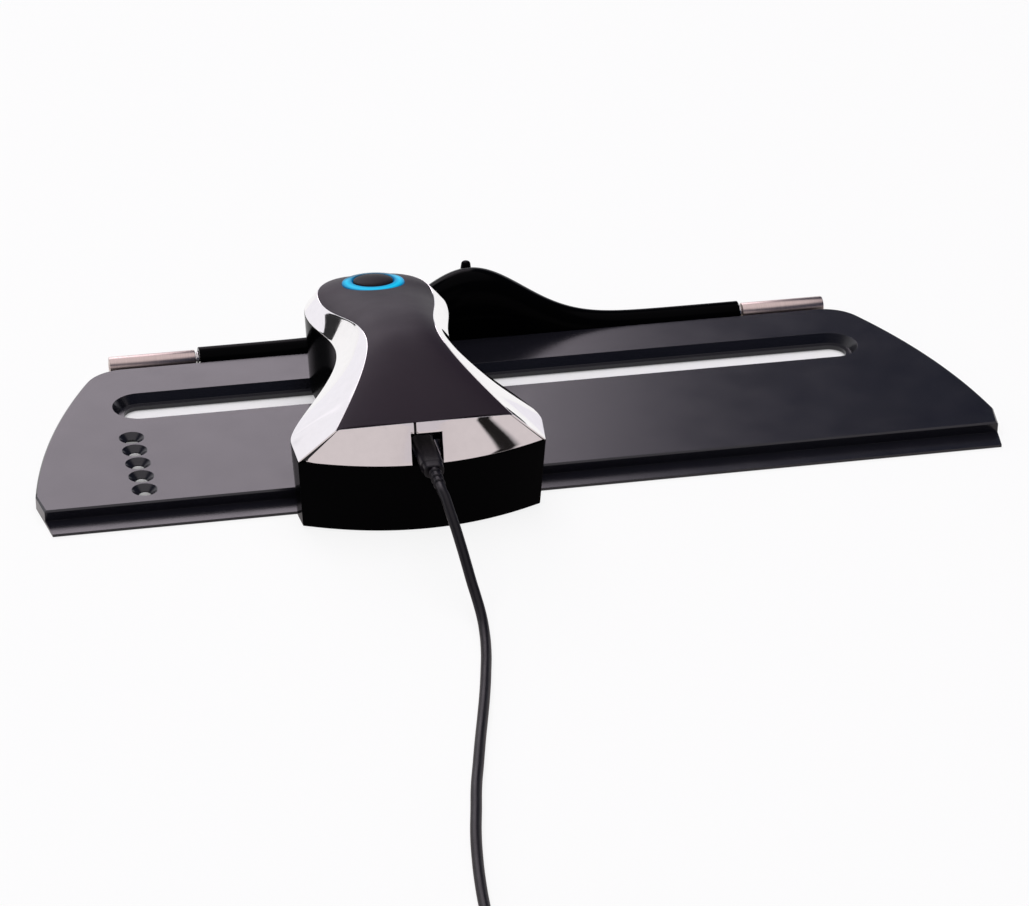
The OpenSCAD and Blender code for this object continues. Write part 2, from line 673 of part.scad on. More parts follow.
// A cutter with round ends along X, wider at the top than at the bottom
module slot_cutter(w0, w1, z0, z1) {
  for (s = [-1, 1]) translate([s * slot_end, 0, z0]) cylinder(h = z1 - z0, d1 = w0, d2 = w1, $fn = fine_fn);
  rotate([90, 0, 90]) linear_extrude(2 * slot_end, center = true)
    polygon([[-w0 / 2, z0], [w0 / 2, z0], [w1 / 2, z1], [-w1 / 2, z1]]);
}

module guide_plate() {
  flare = 2 * slot_bevel * over / (plate_top - slot_floor);
  color(plate_black) placed() difference() {
    union() {
      translate([0, 0, plate_lift]) linear_extrude(ledge_top - plate_lift) plate_shape(0, -plate_front);
      hull() {
        translate([0, 0, ledge_top]) {
          linear_extrude(plate_top - edge_bevel - ledge_top) plate_shape(0, step_v);
          linear_extrude(plate_top - ledge_top) plate_shape(edge_bevel, step_v);
        }
      }
    }
    slot_cutter(slot_w - 2 * slot_bevel, slot_w + flare, slot_floor, plate_top + over);
    slot_cutter(through_w, through_w, -over, slot_floor + over);
    for (i = [0:sight_n - 1]) translate([-sight_x, -sight_front - i * sight_pitch, 0]) {
      translate([0, 0, -over]) cylinder(h = plate_top + over, d = sight_low_d);
      translate([0, 0, plate_top - sight_dish]) cylinder(h = sight_dish + over, d1 = sight_low_d,
        d2 = sight_d + (sight_d - sight_low_d) * over / sight_dish, $fn = fine_fn);
    }
    translate([-sight_x, -sight_front - sight_run / 2, -over])
      pad_box(sight_relief_w, sight_run + sight_relief_w, sight_relief_top + over,
        sight_relief_w / 2 - fit_gap);
    for (v = strip_vs) translate([0, v, -over])
      pad_box(strip_len + fit_gap, strip_w + fit_gap, strip_t + over, strip_w / 2);
    for (x = tongue_xs) translate([x, 0, 0]) {
      bar(tongue_w + fit_gap, tongue_front - fit_gap, plate_rear + over, -over, tongue_top);
      translate([0, tongue_screw_v, 0]) cylinder(h = plate_top - plate_skin, d = screw_d);
    }
  }
}

module grip_strips() {
  color(rubber_black) placed() for (v = strip_vs) translate([0, v, 0])
    pad_box(strip_len, strip_w, strip_t, strip_w / 2 - fit_gap);
}

// Rolling bar

module axle_carrier() {
  color(plate_black) placed() difference() {
    union() {
      bar(2 * cover_half - 1, axle_v - carrier_half, axle_v + carrier_half, plate_lift, carrier_top);
      bar(platform_w, axle_v, lock_v + guide_r, plate_lift, carrier_top);
      for (x = bush_xs) translate([x, axle_v, 0]) {
        bar(bush_len, -block_r, block_r, plate_lift, axle_z);
        translate([-bush_len / 2, 0, axle_z]) along_x() cylinder(h = bush_len, r = block_r);
      }
      for (x = tongue_xs) translate([x, 0, 0]) {
        bar(tongue_w, tongue_front, axle_v, plate_lift, carrier_top);
        bar(tongue_w, tongue_front, plate_rear, plate_lift, tongue_top);
      }
      translate([0, lock_v, plate_lift]) cylinder(h = guide_top - plate_lift, r = guide_r);
    }
    for (x = bush_xs) translate([x - bush_len, axle_v, axle_z]) along_x()
      cylinder(h = 2 * bush_len, r = bush_r);
    translate([0, lock_v, carrier_top]) cylinder(h = guide_top, d = stem_d + 2 * slide_gap);
    for (x = tongue_xs) translate([x, tongue_screw_v, 0]) {
      cylinder(h = plate_top, d = screw_d);
      cylinder(h = plate_lift + flat_head_t, d = screw_head_d + fit_gap);
    }
  }
}

module axle_bushes() {
  color([0.62, 0.5, 0.3]) placed() for (x = bush_xs) translate([0, axle_v, axle_z])
    turned(x - bush_len / 2, x + bush_len / 2, bush_r, axle_d / 2 + axle_clear, 0);
}

module carrier_screws() {
  color(steel) placed() for (x = tongue_xs) translate([x, tongue_screw_v, 0])
    screw(plate_lift, plate_top - plate_skin, flat_head_t);
}

module axle_cover() {
  xs = [for (i = [0:cover_steps]) cover_half * (2 * i / cover_steps - 1)];
  color(black_gloss) placed() difference() {
    skin([for (x = xs) cover_section(x, 0)], [for (x = xs) cover_section(x, cover_wall)]);
    for (x = tongue_xs) translate([x, 0, 0])
      bar(tongue_w + 2 * fit_gap, cover_front - over, axle_v, -over, carrier_top + fit_gap);
    translate([0, lock_v, collar_top]) cylinder(h = grip_h + cover_up, d = lock_d + 2 * slide_gap);
  }
}

module axle() {
  reach = roller_out - axle_short;
  color(steel) placed() translate([0, axle_v, axle_z]) turned(-reach, reach, axle_d / 2);
}

module roller(side) {
  color(warm_steel) placed() translate([side < 0 ? -roller_out : roller_in, axle_v, axle_z])
    turned(0, roller_len, roller_d / 2, axle_d / 2);
}
module left_roller() { roller(-1); }
module right_roller() { roller(1); }

module axle_clips() {
  at_x = cover_half + clip_gap + clip_t / 2;
  color(steel) placed() for (s = [-1, 1]) translate([s * at_x, axle_v, axle_z])
    turned(-clip_t / 2, clip_t / 2, clip_d / 2, axle_d / 2, 0.1);
}

// Roller lock

module lock_button() {
  tip = cover_z(0, lock_v) + lock_proud;
  color(black_gloss) placed() translate([0, lock_v, 0]) rotate_extrude() polygon(concat(
    [[0, stem_low], [stem_d / 2, stem_low], [stem_d / 2, arm_top], [collar_r, arm_top],
      [collar_r, collar_top], [lock_d / 2, collar_top], [lock_d / 2, tip - 2 * lock_proud]],
    [for (a = [0:15:90]) [lock_tip_d / 2 - 1 + cos(a), tip - 1 + sin(a)]], [[0, tip]]));
}

module brake_arm() {
  color(plate_black) placed() difference() {
    union() {
      bar(2 * arm_half, axle_v - arm_half, lock_v, arm_top - arm_t, arm_top);
      translate([0, lock_v, arm_top - arm_t]) cylinder(h = arm_t, r = collar_r);
      bar(2 * arm_half, axle_v - arm_half, axle_v + arm_half, pad_low + pad_t, arm_top);
    }
    translate([0, lock_v, 0]) cylinder(h = collar_top, d = stem_d);
  }
}

module brake_pad() {
  color(rubber_black) placed()
    bar(2 * arm_half, axle_v - arm_half, axle_v + arm_half, pad_low, pad_low + pad_t);
}

module lock_spring() {
  r = stem_d / 2 + slide_gap + spring_wire;
  low = guide_top + spring_wire / 2;
  rise = arm_top - arm_t - guide_top - spring_wire;
  steps = 8 * spring_turns;
  color(steel) placed() translate([0, lock_v, 0])
    sweep([for (i = [0:steps]) let (a = 45 * i) [r * cos(a), r * sin(a), low + rise * i / steps]],
      spring_wire / 2, 6);
}

// Head: casing

module head_shell() {
  outer = pairs(level(low_ring(head_draft), head_low), drop(low_ring(0), seam));
  inner = pairs(level(low_ring(head_draft + shell_wall), head_low),
    drop(high_as(low_ring(shell_wall), low_ring(0)), seam));
  color(black_gloss) in_head() difference() {
    union() {
      skin(outer, inner, closed = true);
      for (v = boss_vs) for (s = [-1, 1]) translate([s * boss_x(v), v, base_top]) {
        cylinder(h = boss_top - base_top, r = boss_r);
        translate([s * boss_to_wall / 2, -boss_web / 2, 0]) bar(boss_to_wall, 0, boss_web, 0, boss_web_h);
      }
    }
    for (v = boss_vs) for (s = [-1, 1])
      translate([s * boss_x(v), v, 0]) cylinder(h = boss_top - boss_skin, d = screw_d);
  }
}

// The shell's apron in front of the plate, open at the top, where the base cover closes it
module front_skirt() {
  rear = -plate_front - skirt_gap;
  color(black_gloss) in_head() difference() {
    intersection() {
      translate([0, 0, skirt_low]) linear_extrude(head_low - skirt_low) polygon(flat(low_ring(head_draft)));
      bar(2 * flare_w, -2 * head_front, rear, 0, 2 * head_low);
    }
    intersection() {
      translate([0, 0, skirt_low + shell_wall]) linear_extrude(head_low)
        polygon(flat(low_ring(head_draft + shell_wall)));
      bar(2 * flare_w, -2 * head_front, rear - shell_wall, 0, 2 * head_low);
    }
  }
}

// Where a screw boss stands, with its screw's head clear of the shell's wall
function boss_x(v) = at_v(low_curve, v)[0] - head_draft - shell_wall - boss_to_face;

module base_cover() {
  color(plate_black) in_head() difference() {
    union() {
      translate([0, 0, head_low]) linear_extrude(base_t)
        polygon(flat(low_ring(head_draft + shell_wall + seam)));
      for (p = board_posts) translate([p[0], p[1], head_low]) cylinder(h = board_low - head_low, r = post_r);
    }
    translate([0, 0, head_low - over]) cylinder(h = base_t + 2 * over, r = nose_r);
    for (v = boss_vs) for (s = [-1, 1]) translate([s * boss_x(v), v, head_low - over]) {
      cylinder(h = base_t + 2 * over, d = screw_d);
      cylinder(h = over + base_head_t, d = screw_head_d + fit_gap);
    }
    for (p = pad_spots) translate([p[0], p[1], head_low - over])
      cylinder(h = over + glide_proud, d = glide_d);
    for (p = board_posts) translate([p[0], p[1], board_low - board_grip])
      cylinder(h = board_grip + over, d = screw_d);
  }
}

module base_screws() {
  color(steel) in_head() for (v = boss_vs) for (s = [-1, 1])
    translate([s * boss_x(v), v, 0]) screw(head_low, boss_top - boss_skin, base_head_t);
}

module glide_pads() {
  color([0.85, 0.85, 0.82]) in_head() for (p = pad_spots)
    translate([p[0], p[1], head_low - glide_proud]) cylinder(h = 2 * glide_proud, d = glide_d);
}

module side_trim() {
  outer = pairs(around(low_half(0)), around(pan_half(0)));
  inner = pairs(around(low_half(trim_wall)), drop(around(pan_half(trim_lean)), trim_drop));
  color(chrome) in_head() skin(outer, inner);
}

module front_trim() {
  rise = above(crest_front_h) - above(panel_front_h);
  low = front_edge(low_corner, front_bow, 0, 0, 1, mitre_gap);
  top = front_edge(pan_corner, panel_bow, rise, 0, 1, mitre_gap);
  low_in = front_edge(low_corner, front_bow, 0, trim_wall, 1, mitre_gap + trim_wall / 2);
  top_in = drop(front_edge(pan_corner, panel_bow, rise, trim_lean, 1, mitre_gap + trim_wall / 2),
    trim_drop);
  color(chrome) in_head() difference() {
    skin(pairs(low, top), pairs(low_in, top_in));
    bar(notch_w, -head_front - over, pan_corner[1] + 2 * trim_wall, 0, above(notch_h));
    translate([slit_x, 0, 0]) bar(slit_w, -head_front - over, pan_corner[1] + 2 * trim_wall,
      above(rim_front_h), above(crest_waist_h));
  }
}

function crest_z(v) = at_v(crest_curve, v)[2];

// One station of the panel, from right to left across its crown
function panel_row(e, k, dz) = [for (i = [0:across_n]) let (
  u = 1 - 2 * i / across_n,
  crown = 1 - pow(abs(u), dome_power),
  bow = panel_bow * (1 - u * u) * max(0, 1 - k / 5))
  [e[0] * u, e[1] - bow, e[2] + (crest_z(e[1] - bow) - e[2]) * crown - dz]];

// Top of the panel at a point of its plan
function panel_z(x, v) = let (
  p = v > 0 ? [sqrt(panel_r * panel_r - v * v), v, 0] : at_v(pan_curve, v),
  edge = v > 0 ? pan_side[2] + (crest_rear[2] - pan_side[2]) * (1 - p[0] / panel_r) : p[2])
  edge + (crest_z(v) - edge) * (1 - pow(min(abs(x) / p[0], 1), dome_power));

// Top of a post of the ring's board, half way through the panel, along the ring's axis
function post_top(a) = panel_z(ring_post_at * cos(a), ring_back + ring_post_at * sin(a)) - panel_t / 2
  - crest_ring[2] + ring_post_at * sin(a) * tan(ring_tilt);

module top_panel() {
  top = pan_half(seam, panel_last);
  low = pan_half(seam + trim_lean + panel_lean, panel_last);
  color(charcoal) difference() {
    union() {
      in_head() skin([for (k = [0:len(top) - 1]) panel_row(top[k], k, 0)],
        [for (k = [0:len(low) - 1]) panel_row(low[k], k, panel_t)]);
      on_ring() for (a = ring_posts) rotate([0, 0, a]) translate([ring_post_at, 0, ring_board_top])
        cylinder(h = post_top(a) - ring_board_top, r = ring_post_r);
    }
    on_ring() translate([0, 0, -ring_depth]) cylinder(h = 3 * ring_depth, d = ring_d + seam, $fn = fine_fn);
  }
}

// Head: light ring and button

module light_ring() {
  r = ring_d / 2;
  lip = 0.5;
  color([0.1, 0.6, 0.95]) on_ring() rotate_extrude($fn = fine_fn) polygon([[ring_in_d / 2, -ring_depth],
    [ring_flange_r, -ring_depth], [ring_flange_r, ring_flange_t - ring_depth],
    [r, ring_flange_t - ring_depth], [r, -lip], [r - lip, 0], [ring_in_d / 2 + lip, ring_rise],
    [ring_in_d / 2, ring_rise - lip]]);
}

module button_cap() {
  r = button_d / 2;
  dome_r = (r * r + button_dome * button_dome) / (2 * button_dome);
  color([0.1, 0.1, 0.105]) on_ring() rotate_extrude($fn = fine_fn) polygon(concat(
    [[0, cap_stem_low], [cap_stem_r, cap_stem_low], [cap_stem_r, cap_flange_top - cap_flange_t],
      [cap_flange_r, cap_flange_top - cap_flange_t], [cap_flange_r, cap_flange_top], [r, cap_flange_top]],
    [for (i = [0:6]) let (x = r * (1 - i / 6))
      [x, cap_edge + sqrt(dome_r * dome_r - x * x) - dome_r + button_dome]]));
}

module touch_switch() {
  color([0.2, 0.2, 0.2]) on_ring() {
    translate([0, 0, ring_board_top]) pad_box(6, 6, switch_t - 0.6, 0.5);
    translate([0, 0, switch_top - 0.6]) cylinder(h = 0.6, r = 1.6);
  }
}

module ring_board() {
  color(board_green) on_ring() translate([0, 0, ring_board_top - board_t])
    cylinder(h = board_t, r = ring_board_r);
}

module ring_leds() {
  color([0.9, 0.95, 1]) on_ring() for (i = [0:ring_led_n - 1]) rotate([0, 0, 30 + 360 * i / ring_led_n])
    translate([ring_led_at, 0, ring_board_top]) pad_box(3, 2.4, 1.2, 0.3);
}

// Head: optics and electronics

module aperture_nose() {
  color(black_gloss) in_head() rotate_extrude() polygon([[aperture_d / 2, nose_tip],
    [nose_r - 0.6, nose_tip], [nose_r, nose_tip + 0.6], [nose_r, base_top], [flange_r, base_top],
    [flange_r, barrel_low], [aperture_d / 2, barrel_low]]);
}

module lamp_ring() {
  color(board_green) in_head() translate([0, 0, base_top]) difference() {
    cylinder(h = board_t, r = flange_r + 5.5);
    translate([0, 0, -over]) cylinder(h = board_t + 2 * over, r = flange_r + fit_gap);
  }
}

module optics_barrel() {
  top = board_low - chip_t - fit_gap;
  color(black_gloss) in_head() rotate_extrude() polygon([[barrel_bore / 2, barrel_low],
    [flange_r, barrel_low], [flange_r, top], [barrel_bore / 2, top]]);
}

module lens() {
  color([0.7, 0.85, 0.9]) in_head() translate([0, 0, barrel_low + 4]) rotate_extrude() polygon(concat(
    [[0, 0], [barrel_bore / 2, 0]],
    [for (i = [0:5]) [barrel_bore / 2 * (1 - i / 5), lens_t * (0.6 + 0.4 * i / 5)]]));
}

module main_board() {
  color(board_green) in_head() translate([0, 0, board_low]) difference() {
    linear_extrude(board_t) union() {
      translate([-board_w / 2, board_front]) square([board_w, board_wide_len]);
      translate([-board_neck_w / 2, board_front]) square([board_neck_w, -board_front]);
      circle(board_round);
    }
    for (p = board_posts) translate([p[0], p[1], -over]) cylinder(h = board_t + 2 * over, d = screw_d);
  }
}

module board_screws() {
  color(steel) in_head() for (p = board_posts) translate([p[0], p[1], board_top + board_head_t])
    mirror([0, 0, 1]) screw(0, board_t + board_head_t + board_grip, board_head_t);
}

module sensor_chip() {
  color([0.12, 0.12, 0.13]) in_head() translate([0, 0, board_low - chip_t]) pad_box(6, 6, chip_t, 0.4);
}

module usb_socket() {
  color(steel) in_head() difference() {
    bar(socket_w, board_front, board_front + socket_len, board_top, board_top + socket_tall);
    bar(socket_w - 0.8, board_front - over, board_front + socket_len - 0.4, board_top + 0.4,
      board_top + socket_tall - 0.4);
  }
}

module port_liner() {
  top = above(notch_h) + fit_gap;
  low = plug_z - plug_tall / 2 - plug_gap;
  color(chrome) in_head() difference() {
    bar(notch_w + 2 * liner_wall, liner_front, liner_back, low - liner_wall, top + liner_wall);
    bar(notch_w, liner_front - over, liner_back - liner_wall, low, top);
    bar(socket_w, liner_front, liner_back + over, board_top, board_top + socket_tall);
  }
}

// Lead

module plug_tip() {
  color(steel) in_head() bar(socket_w - 1.4, relief_v + plug_len, board_front + socket_len - 2,
    plug_z - socket_tall / 2 + 0.7, plug_z + socket_tall / 2 - 0.7);
}

module plug_body() {
  color(rubber_black) in_head() translate([0, relief_v, plug_z]) rotate([-90, 0, 0]) {
    translate([0, 0, plug_step_len]) pad_box(plug_w, plug_tall, plug_len - plug_step_len, plug_round);
    pad_box(plug_w - plug_step, plug_tall - plug_step, plug_step_len, plug_round);
  }
}

// A tapered sleeve with grooves between its ribs, standing on z = 0
module relief(r0, r1, len, ribs) {
  step = len / ribs;
  difference() {
    cylinder(h = len, r1 = r0, r2 = r1);
    for (i = [1:ribs]) translate([0, 0, i * step - 0.7 * step]) difference() {
      cylinder(h = 0.35 * step, r = r0 + over);
      translate([0, 0, -over]) cylinder(h = step + 2 * over, r = r1 - 0.1);
    }
  }
}

module strain_relief() {
  color(rubber_black) in_head() translate([0, relief_v, plug_z]) rotate([90, 0, 0])
    relief(cord_d / 2 + relief_root, cord_d / 2 + relief_tip, relief_len, relief_ribs);
}

module cord_lead() { color(rubber_black) sweep(lead_route, cord_d / 2, 8); }
module cord_coil() { color(rubber_black) sweep(coil_route, cord_d / 2, 6); }
module cord_tail() { color(rubber_black) sweep(tail_route, cord_d / 2, 8); }

module cord_tie() {
  room = cord_d / 2 + slide_gap;
  first = coil_r - coil_pitch * coil_turns / 2 - room;
  last = coil_r + room;
  top = coil_low + coil_pitch + room;
  color([0.25, 0.25, 0.27]) translate([coil_mid[0] + (first + last) / 2, coil_mid[1], 0]) difference() {
    bar(last - first + 2 * tie_t, -tie_w / 2, tie_w / 2, 0, top + tie_t);
    bar(last - first, -tie_w, tie_w, tie_t, top);
  }
}

module usb_plug() {
  color(rubber_black) translate(tail_end) along_x() {
    mirror([0, 0, 1]) translate([0, 0, -usb_relief_len])
      relief(cord_d / 2 + usb_relief_root, cord_d / 2 + usb_relief_tip, usb_relief_len, relief_ribs);
    translate([0, 0, usb_relief_len]) pad_box(usb_tall, usb_w, usb_len, 2);
  }
}

module usb_shell() {
  x0 = usb_relief_len + usb_len;
  color(steel) translate(tail_end) along_x() translate([0, 0, x0]) difference() {
    pad_box(usb_shell_tall, usb_shell_w, usb_shell_len, 0.4);
    translate([0, 0, over])
      pad_box(usb_shell_tall - 2 * usb_shell_wall, usb_shell_w - 2 * usb_shell_wall, usb_shell_len, 0.3);
  }
}

guide_plate();
grip_strips();
axle_carrier();
axle_bushes();
carrier_screws();
axle_cover();
lock_spring();
axle();
left_roller();
right_roller();
axle_clips();
lock_button();
brake_arm();
brake_pad();
head_shell();
front_skirt();
base_cover();
base_screws();
glide_pads();
aperture_nose();
lamp_ring();
optics_barrel();
lens();
main_board();
board_screws();
sensor_chip();
usb_socket();
port_liner();
side_trim();
front_trim();
top_panel();
light_ring();
ring_board();
ring_leds();
touch_switch();
button_cap();
plug_tip();
plug_body();
strain_relief();
cord_lead();
cord_coil();
cord_tail();
cord_tie();
usb_plug();
usb_shell();
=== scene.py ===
"""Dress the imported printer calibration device: a slotted strip guide with a rolling bar, and its measuring head.

Sizes are millimetres in the part's own frame, and become metres as each mesh is made.
"""

import logging
import math
from dataclasses import dataclass, field
from enum import Enum
from typing import Iterable, Sequence

import bmesh
import bpy
from mathutils import Matrix, Vector


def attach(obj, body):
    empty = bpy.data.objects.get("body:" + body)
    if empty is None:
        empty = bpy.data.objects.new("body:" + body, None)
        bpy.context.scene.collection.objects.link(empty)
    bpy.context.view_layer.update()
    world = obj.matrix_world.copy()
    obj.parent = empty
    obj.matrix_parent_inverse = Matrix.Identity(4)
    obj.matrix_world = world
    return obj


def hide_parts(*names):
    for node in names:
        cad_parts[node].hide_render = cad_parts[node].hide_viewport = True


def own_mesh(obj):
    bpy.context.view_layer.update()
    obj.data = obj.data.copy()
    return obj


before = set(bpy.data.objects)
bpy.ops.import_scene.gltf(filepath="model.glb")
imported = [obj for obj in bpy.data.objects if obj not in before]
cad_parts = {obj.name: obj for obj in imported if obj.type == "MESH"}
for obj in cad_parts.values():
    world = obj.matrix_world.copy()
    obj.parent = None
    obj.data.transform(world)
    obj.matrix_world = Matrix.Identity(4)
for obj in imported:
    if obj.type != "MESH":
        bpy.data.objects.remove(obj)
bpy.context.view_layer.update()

LOG = logging.getLogger("device")
MM = 0.001
Y_SHIFT = 23.0
HEAD_X = -41.8
TONGUE_X = (-80.0, -30.0, 30.0, 80.0)
PLATE_TOP = 5.1
CREASE = 40.0
MERGE_M = 1e-7
POLE = 1e-9
UPWARD = (0.0, 0.0, 1.0)
FORWARD = (0.0, -1.0, 0.0)
Pair = tuple[float, float]
Colour = tuple[float, float, float]
# A band has a start, an end and the width of its soft edges
Band = tuple[float, float, float]
Face = tuple[int, ...]
Piece = bpy.types.Object
Socket = bpy.types.NodeSocket


class Body(Enum):
    """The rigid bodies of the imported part."""

    GUIDE = "guide"
    ROLLER_BAR = "roller_bar"
    LOCK = "roller_lock"
    HEAD = "measuring_head"
    BUTTON = "ring_button"


class Axis(Enum):
    """The way a turned piece points."""

    RIGHT = "Y"
    FRONT = "X"

    def turn(self) -> Matrix:
        """Give the rotation from local Z to this direction."""
        return Matrix.Rotation(math.radians(90), 4, self.value)


# Mesh tools


def put(name: str, data: bpy.types.ID) -> Piece:
    """Put an object with this data into the scene.

    Args:
        name: Name of the object.
        data: Its mesh, curve, camera or lamp.

    Returns:
        The new object, at the origin.
    """
    thing = bpy.data.objects.new(name, data)
    bpy.context.scene.collection.objects.link(thing)
    return thing


def mesh_object(name: str, points: Iterable[Sequence[float]], faces: Iterable[Face] = ()) -> Piece:
    """Make a bare mesh object from points in millimetres.

    Args:
        name: Name of the object.
        points: Corners, in millimetres in the part's frame.
        faces: Corner numbers of each face.

    Returns:
        The new object, at the origin.
    """
    mesh = bpy.data.meshes.new(name)
    mesh.from_pydata([tuple(c * MM for c in p) for p in points], [], list(faces))
    return put(name, mesh)


def make_piece(name: str, points: Iterable[Sequence[float]], faces: Iterable[Face],
               crease: float = CREASE) -> Piece:
    """Make a smooth-shaded mesh piece from points in millimetres.

    Args:
        name: Name of the piece.
        points: Corners, in millimetres in the part's frame.
        faces: Corner numbers of each face.
        crease: Angle in degrees above which an edge stays sharp.

    Returns:
        The new object, at the origin.
    """
    piece = mesh_object(name, points, faces)
    clean(piece)
    shade(piece, crease)
    return piece


def clean(piece: Piece) -> None:
    """Merge doubles, drop faces without area and turn every face outwards.

    Args:
        piece: The piece to clean.
    """
    work = bmesh.new()
    work.from_mesh(piece.data)
    bmesh.ops.remove_doubles(work, verts=work.verts, dist=MERGE_M)
    bmesh.ops.dissolve_degenerate(work, edges=work.edges, dist=MERGE_M)
    bmesh.ops.recalc_face_normals(work, faces=work.faces)
    work.to_mesh(piece.data)
    work.free()


def shade(piece: Piece, crease: float) -> None:
    """Shade smooth, with edges above the crease angle kept sharp.

    Args:
        piece: The piece to shade.
        crease: Angle in degrees above which an edge stays sharp.
    """
    piece.data.polygons.foreach_set("use_smooth", [True] * len(piece.data.polygons))
    piece.data.set_sharp_from_angle(angle=math.radians(crease))
    piece.data.update()


def settle(piece: Piece, crease: float | None = CREASE) -> Piece:
    """Turn a piece and its modifiers into a plain mesh.

    Args:
        piece: The piece, with its modifiers set.
        crease: Angle in degrees above which an edge stays sharp, or None to keep the modifiers' normals.

    Returns:
        The same piece.
    """
    bpy.context.view_layer.update()
    graph = bpy.context.evaluated_depsgraph_get()
    mesh = bpy.data.meshes.new_from_object(piece.evaluated_get(graph))
    piece.modifiers.clear()
    old, piece.data = piece.data, mesh
    bpy.data.meshes.remove(old)
    if crease is not None:
        shade(piece, crease)
    return piece


def thicken(piece: Piece, wall: float, face: int, outward: Sequence[float]) -> Piece:
    """Give an open sheet a wall behind its outer side.

    Args:
        piece: The sheet.
        wall: Thickness of the wall in millimetres.
        face: Number of a face whose outer side is known.
        outward: The direction that this face looks in.

    Returns:
        The same piece, as a plain mesh.
    """
    if piece.data.polygons[face].normal.dot(Vector(outward)) < 0:
        piece.data.flip_normals()
    solid = piece.modifiers.new("wall", "SOLIDIFY")
    solid.thickness = wall * MM
    solid.offset = -1.0
    solid.use_even_offset = True
    return settle(piece)


def round_edges(piece: Piece, width: float, angle: float = 32.0, segments: int = 3) -> Piece:
    """Round every edge that is sharper than the given angle.

    Args:
        piece: The piece to round.
        width: Width of the rounding in millimetres.
        angle: Least angle in degrees between the faces of a rounded edge.
        segments: Steps across the rounding.

    Returns:
        The same piece, as a plain mesh with even normals.
    """
    shade(piece, 180.0)
    bevel = piece.modifiers.new("edges", "BEVEL")
    bevel.width = width * MM
    bevel.segments = segments
    bevel.limit_method = "ANGLE"
    bevel.angle_limit = math.radians(angle)
    bevel.use_clamp_overlap = True
    bevel.miter_outer = "MITER_ARC"
    even = piece.modifiers.new("even", "WEIGHTED_NORMAL")
    even.keep_sharp = True
    return settle(piece, None)


def cut_away(piece: Piece, *cutters: Piece) -> Piece:
    """Cut closed shapes out of a piece and delete them.

    Args:
        piece: The piece to cut.
        cutters: The shapes to take away.

    Returns:
        The same piece, as a plain mesh.
    """
    for cutter in cutters:
        cut = piece.modifiers.new("cut", "BOOLEAN")
        cut.operation = "DIFFERENCE"
        cut.solver = "EXACT"
        cut.object = cutter
    settle(piece)
    for cutter in cutters:
        bpy.data.objects.remove(cutter)
    return piece


def join(piece: Piece, *others: Piece) -> Piece:
    """Add the meshes of other pieces to a piece and delete them.

    Args:
        piece: The piece that takes the meshes.
        others: The pieces to add.

    Returns:
        The same piece.
    """
    work = bmesh.new()
    for part in (piece, *others):
        work.from_mesh(part.data)
    work.to_mesh(piece.data)
    work.free()
    for part in others:
        bpy.data.objects.remove(part)
    return piece


def net_faces(rows: int, columns: int, ring: bool = False, loop: bool = False) -> list[Face]:
    """Number the faces of a net of points, row after row.

    Args:
        rows: Number of rows.
        columns: Points in a row.
        ring: Whether each row closes on itself.
        loop: Whether the last row joins the first.

    Returns:
        One quad for each mesh of the net.
    """
    quads = []
    for r in range(rows if loop else rows - 1):
        here, there = r * columns, (r + 1) % rows * columns
        for c in range(columns if ring else columns - 1):
            n = (c + 1) % columns
            quads.append((here + c, here + n, there + n, there + c))
    return quads


def net(name: str, rows: Sequence[Sequence[Vector]], crease: float = CREASE, ring: bool = False,
        loop: bool = False) -> Piece:
    """Make a sheet from rows of points, open or closed as net_faces says."""
    return make_piece(name, [p for row in rows for p in row], net_faces(len(rows), len(rows[0]), ring, loop), crease)


def capped(name: str, rings: Sequence[Sequence[Sequence[float]]]) -> Piece:
    """Make a closed piece from rings of points, with a flat cap on each end.

    Args:
        name: Name of the piece.
        rings: Rings of as many points each, in millimetres.

    Returns:
        The closed piece.
    """
    n, last = len(rings[0]), (len(rings) - 1) * len(rings[0])
    caps = [tuple(range(n - 1, -1, -1)), tuple(range(last, last + n))]
    return make_piece(name, [p for ring in rings for p in ring], net_faces(len(rings), n, ring=True) + caps)


def turned(name: str, profile: Sequence[Pair], place: Matrix, segments: int = 96,
           tube: bool = False) -> Piece:
    """Turn a profile of radius and height about an axis.

    Args:
        name: Name of the piece.
        profile: Radius and height of each point, in millimetres.
        place: Where the axis stands: local Z is the axis.
        segments: Steps round the axis.
        tube: Whether the profile closes on itself, as for a ring.

    Returns:
        The turned piece.
    """
    points: list[Vector] = []
    faces: list[Face] = []
    starts: list[tuple[int, bool]] = []
    for radius, height in profile:
        starts.append((len(points), radius < POLE))
        for s in range(1 if radius < POLE else segments):
            a = math.tau * s / segments
            points.append(place @ Vector((radius * math.cos(a), radius * math.sin(a), height)))
    pairs = list(zip(starts, starts[1:])) + ([(starts[-1], starts[0])] if tube else [])
    for (first, pole_a), (second, pole_b) in pairs:
        for s in range(segments):
            n = (s + 1) % segments
            face = [first if pole_a else first + s, first if pole_a else first + n,
                    second if pole_b else second + n, second if pole_b else second + s]
            faces.append(tuple(dict.fromkeys(face)))
    return make_piece(name, points, [f for f in faces if len(f) > 2])


def prism(name: str, outline: Sequence[Pair], low: float, high: float) -> Piece:
    """Make an upright prism from a plan outline."""
    return capped(name, [[(x, y, z) for x, y in outline] for z in (low, high)])


def block(name: str, low: Sequence[float], high: Sequence[float]) -> Piece:
    """Make a box between two corners."""
    return prism(name, [(low[0], low[1]), (high[0], low[1]), (high[0], high[1]), (low[0], high[1])], low[2], high[2])


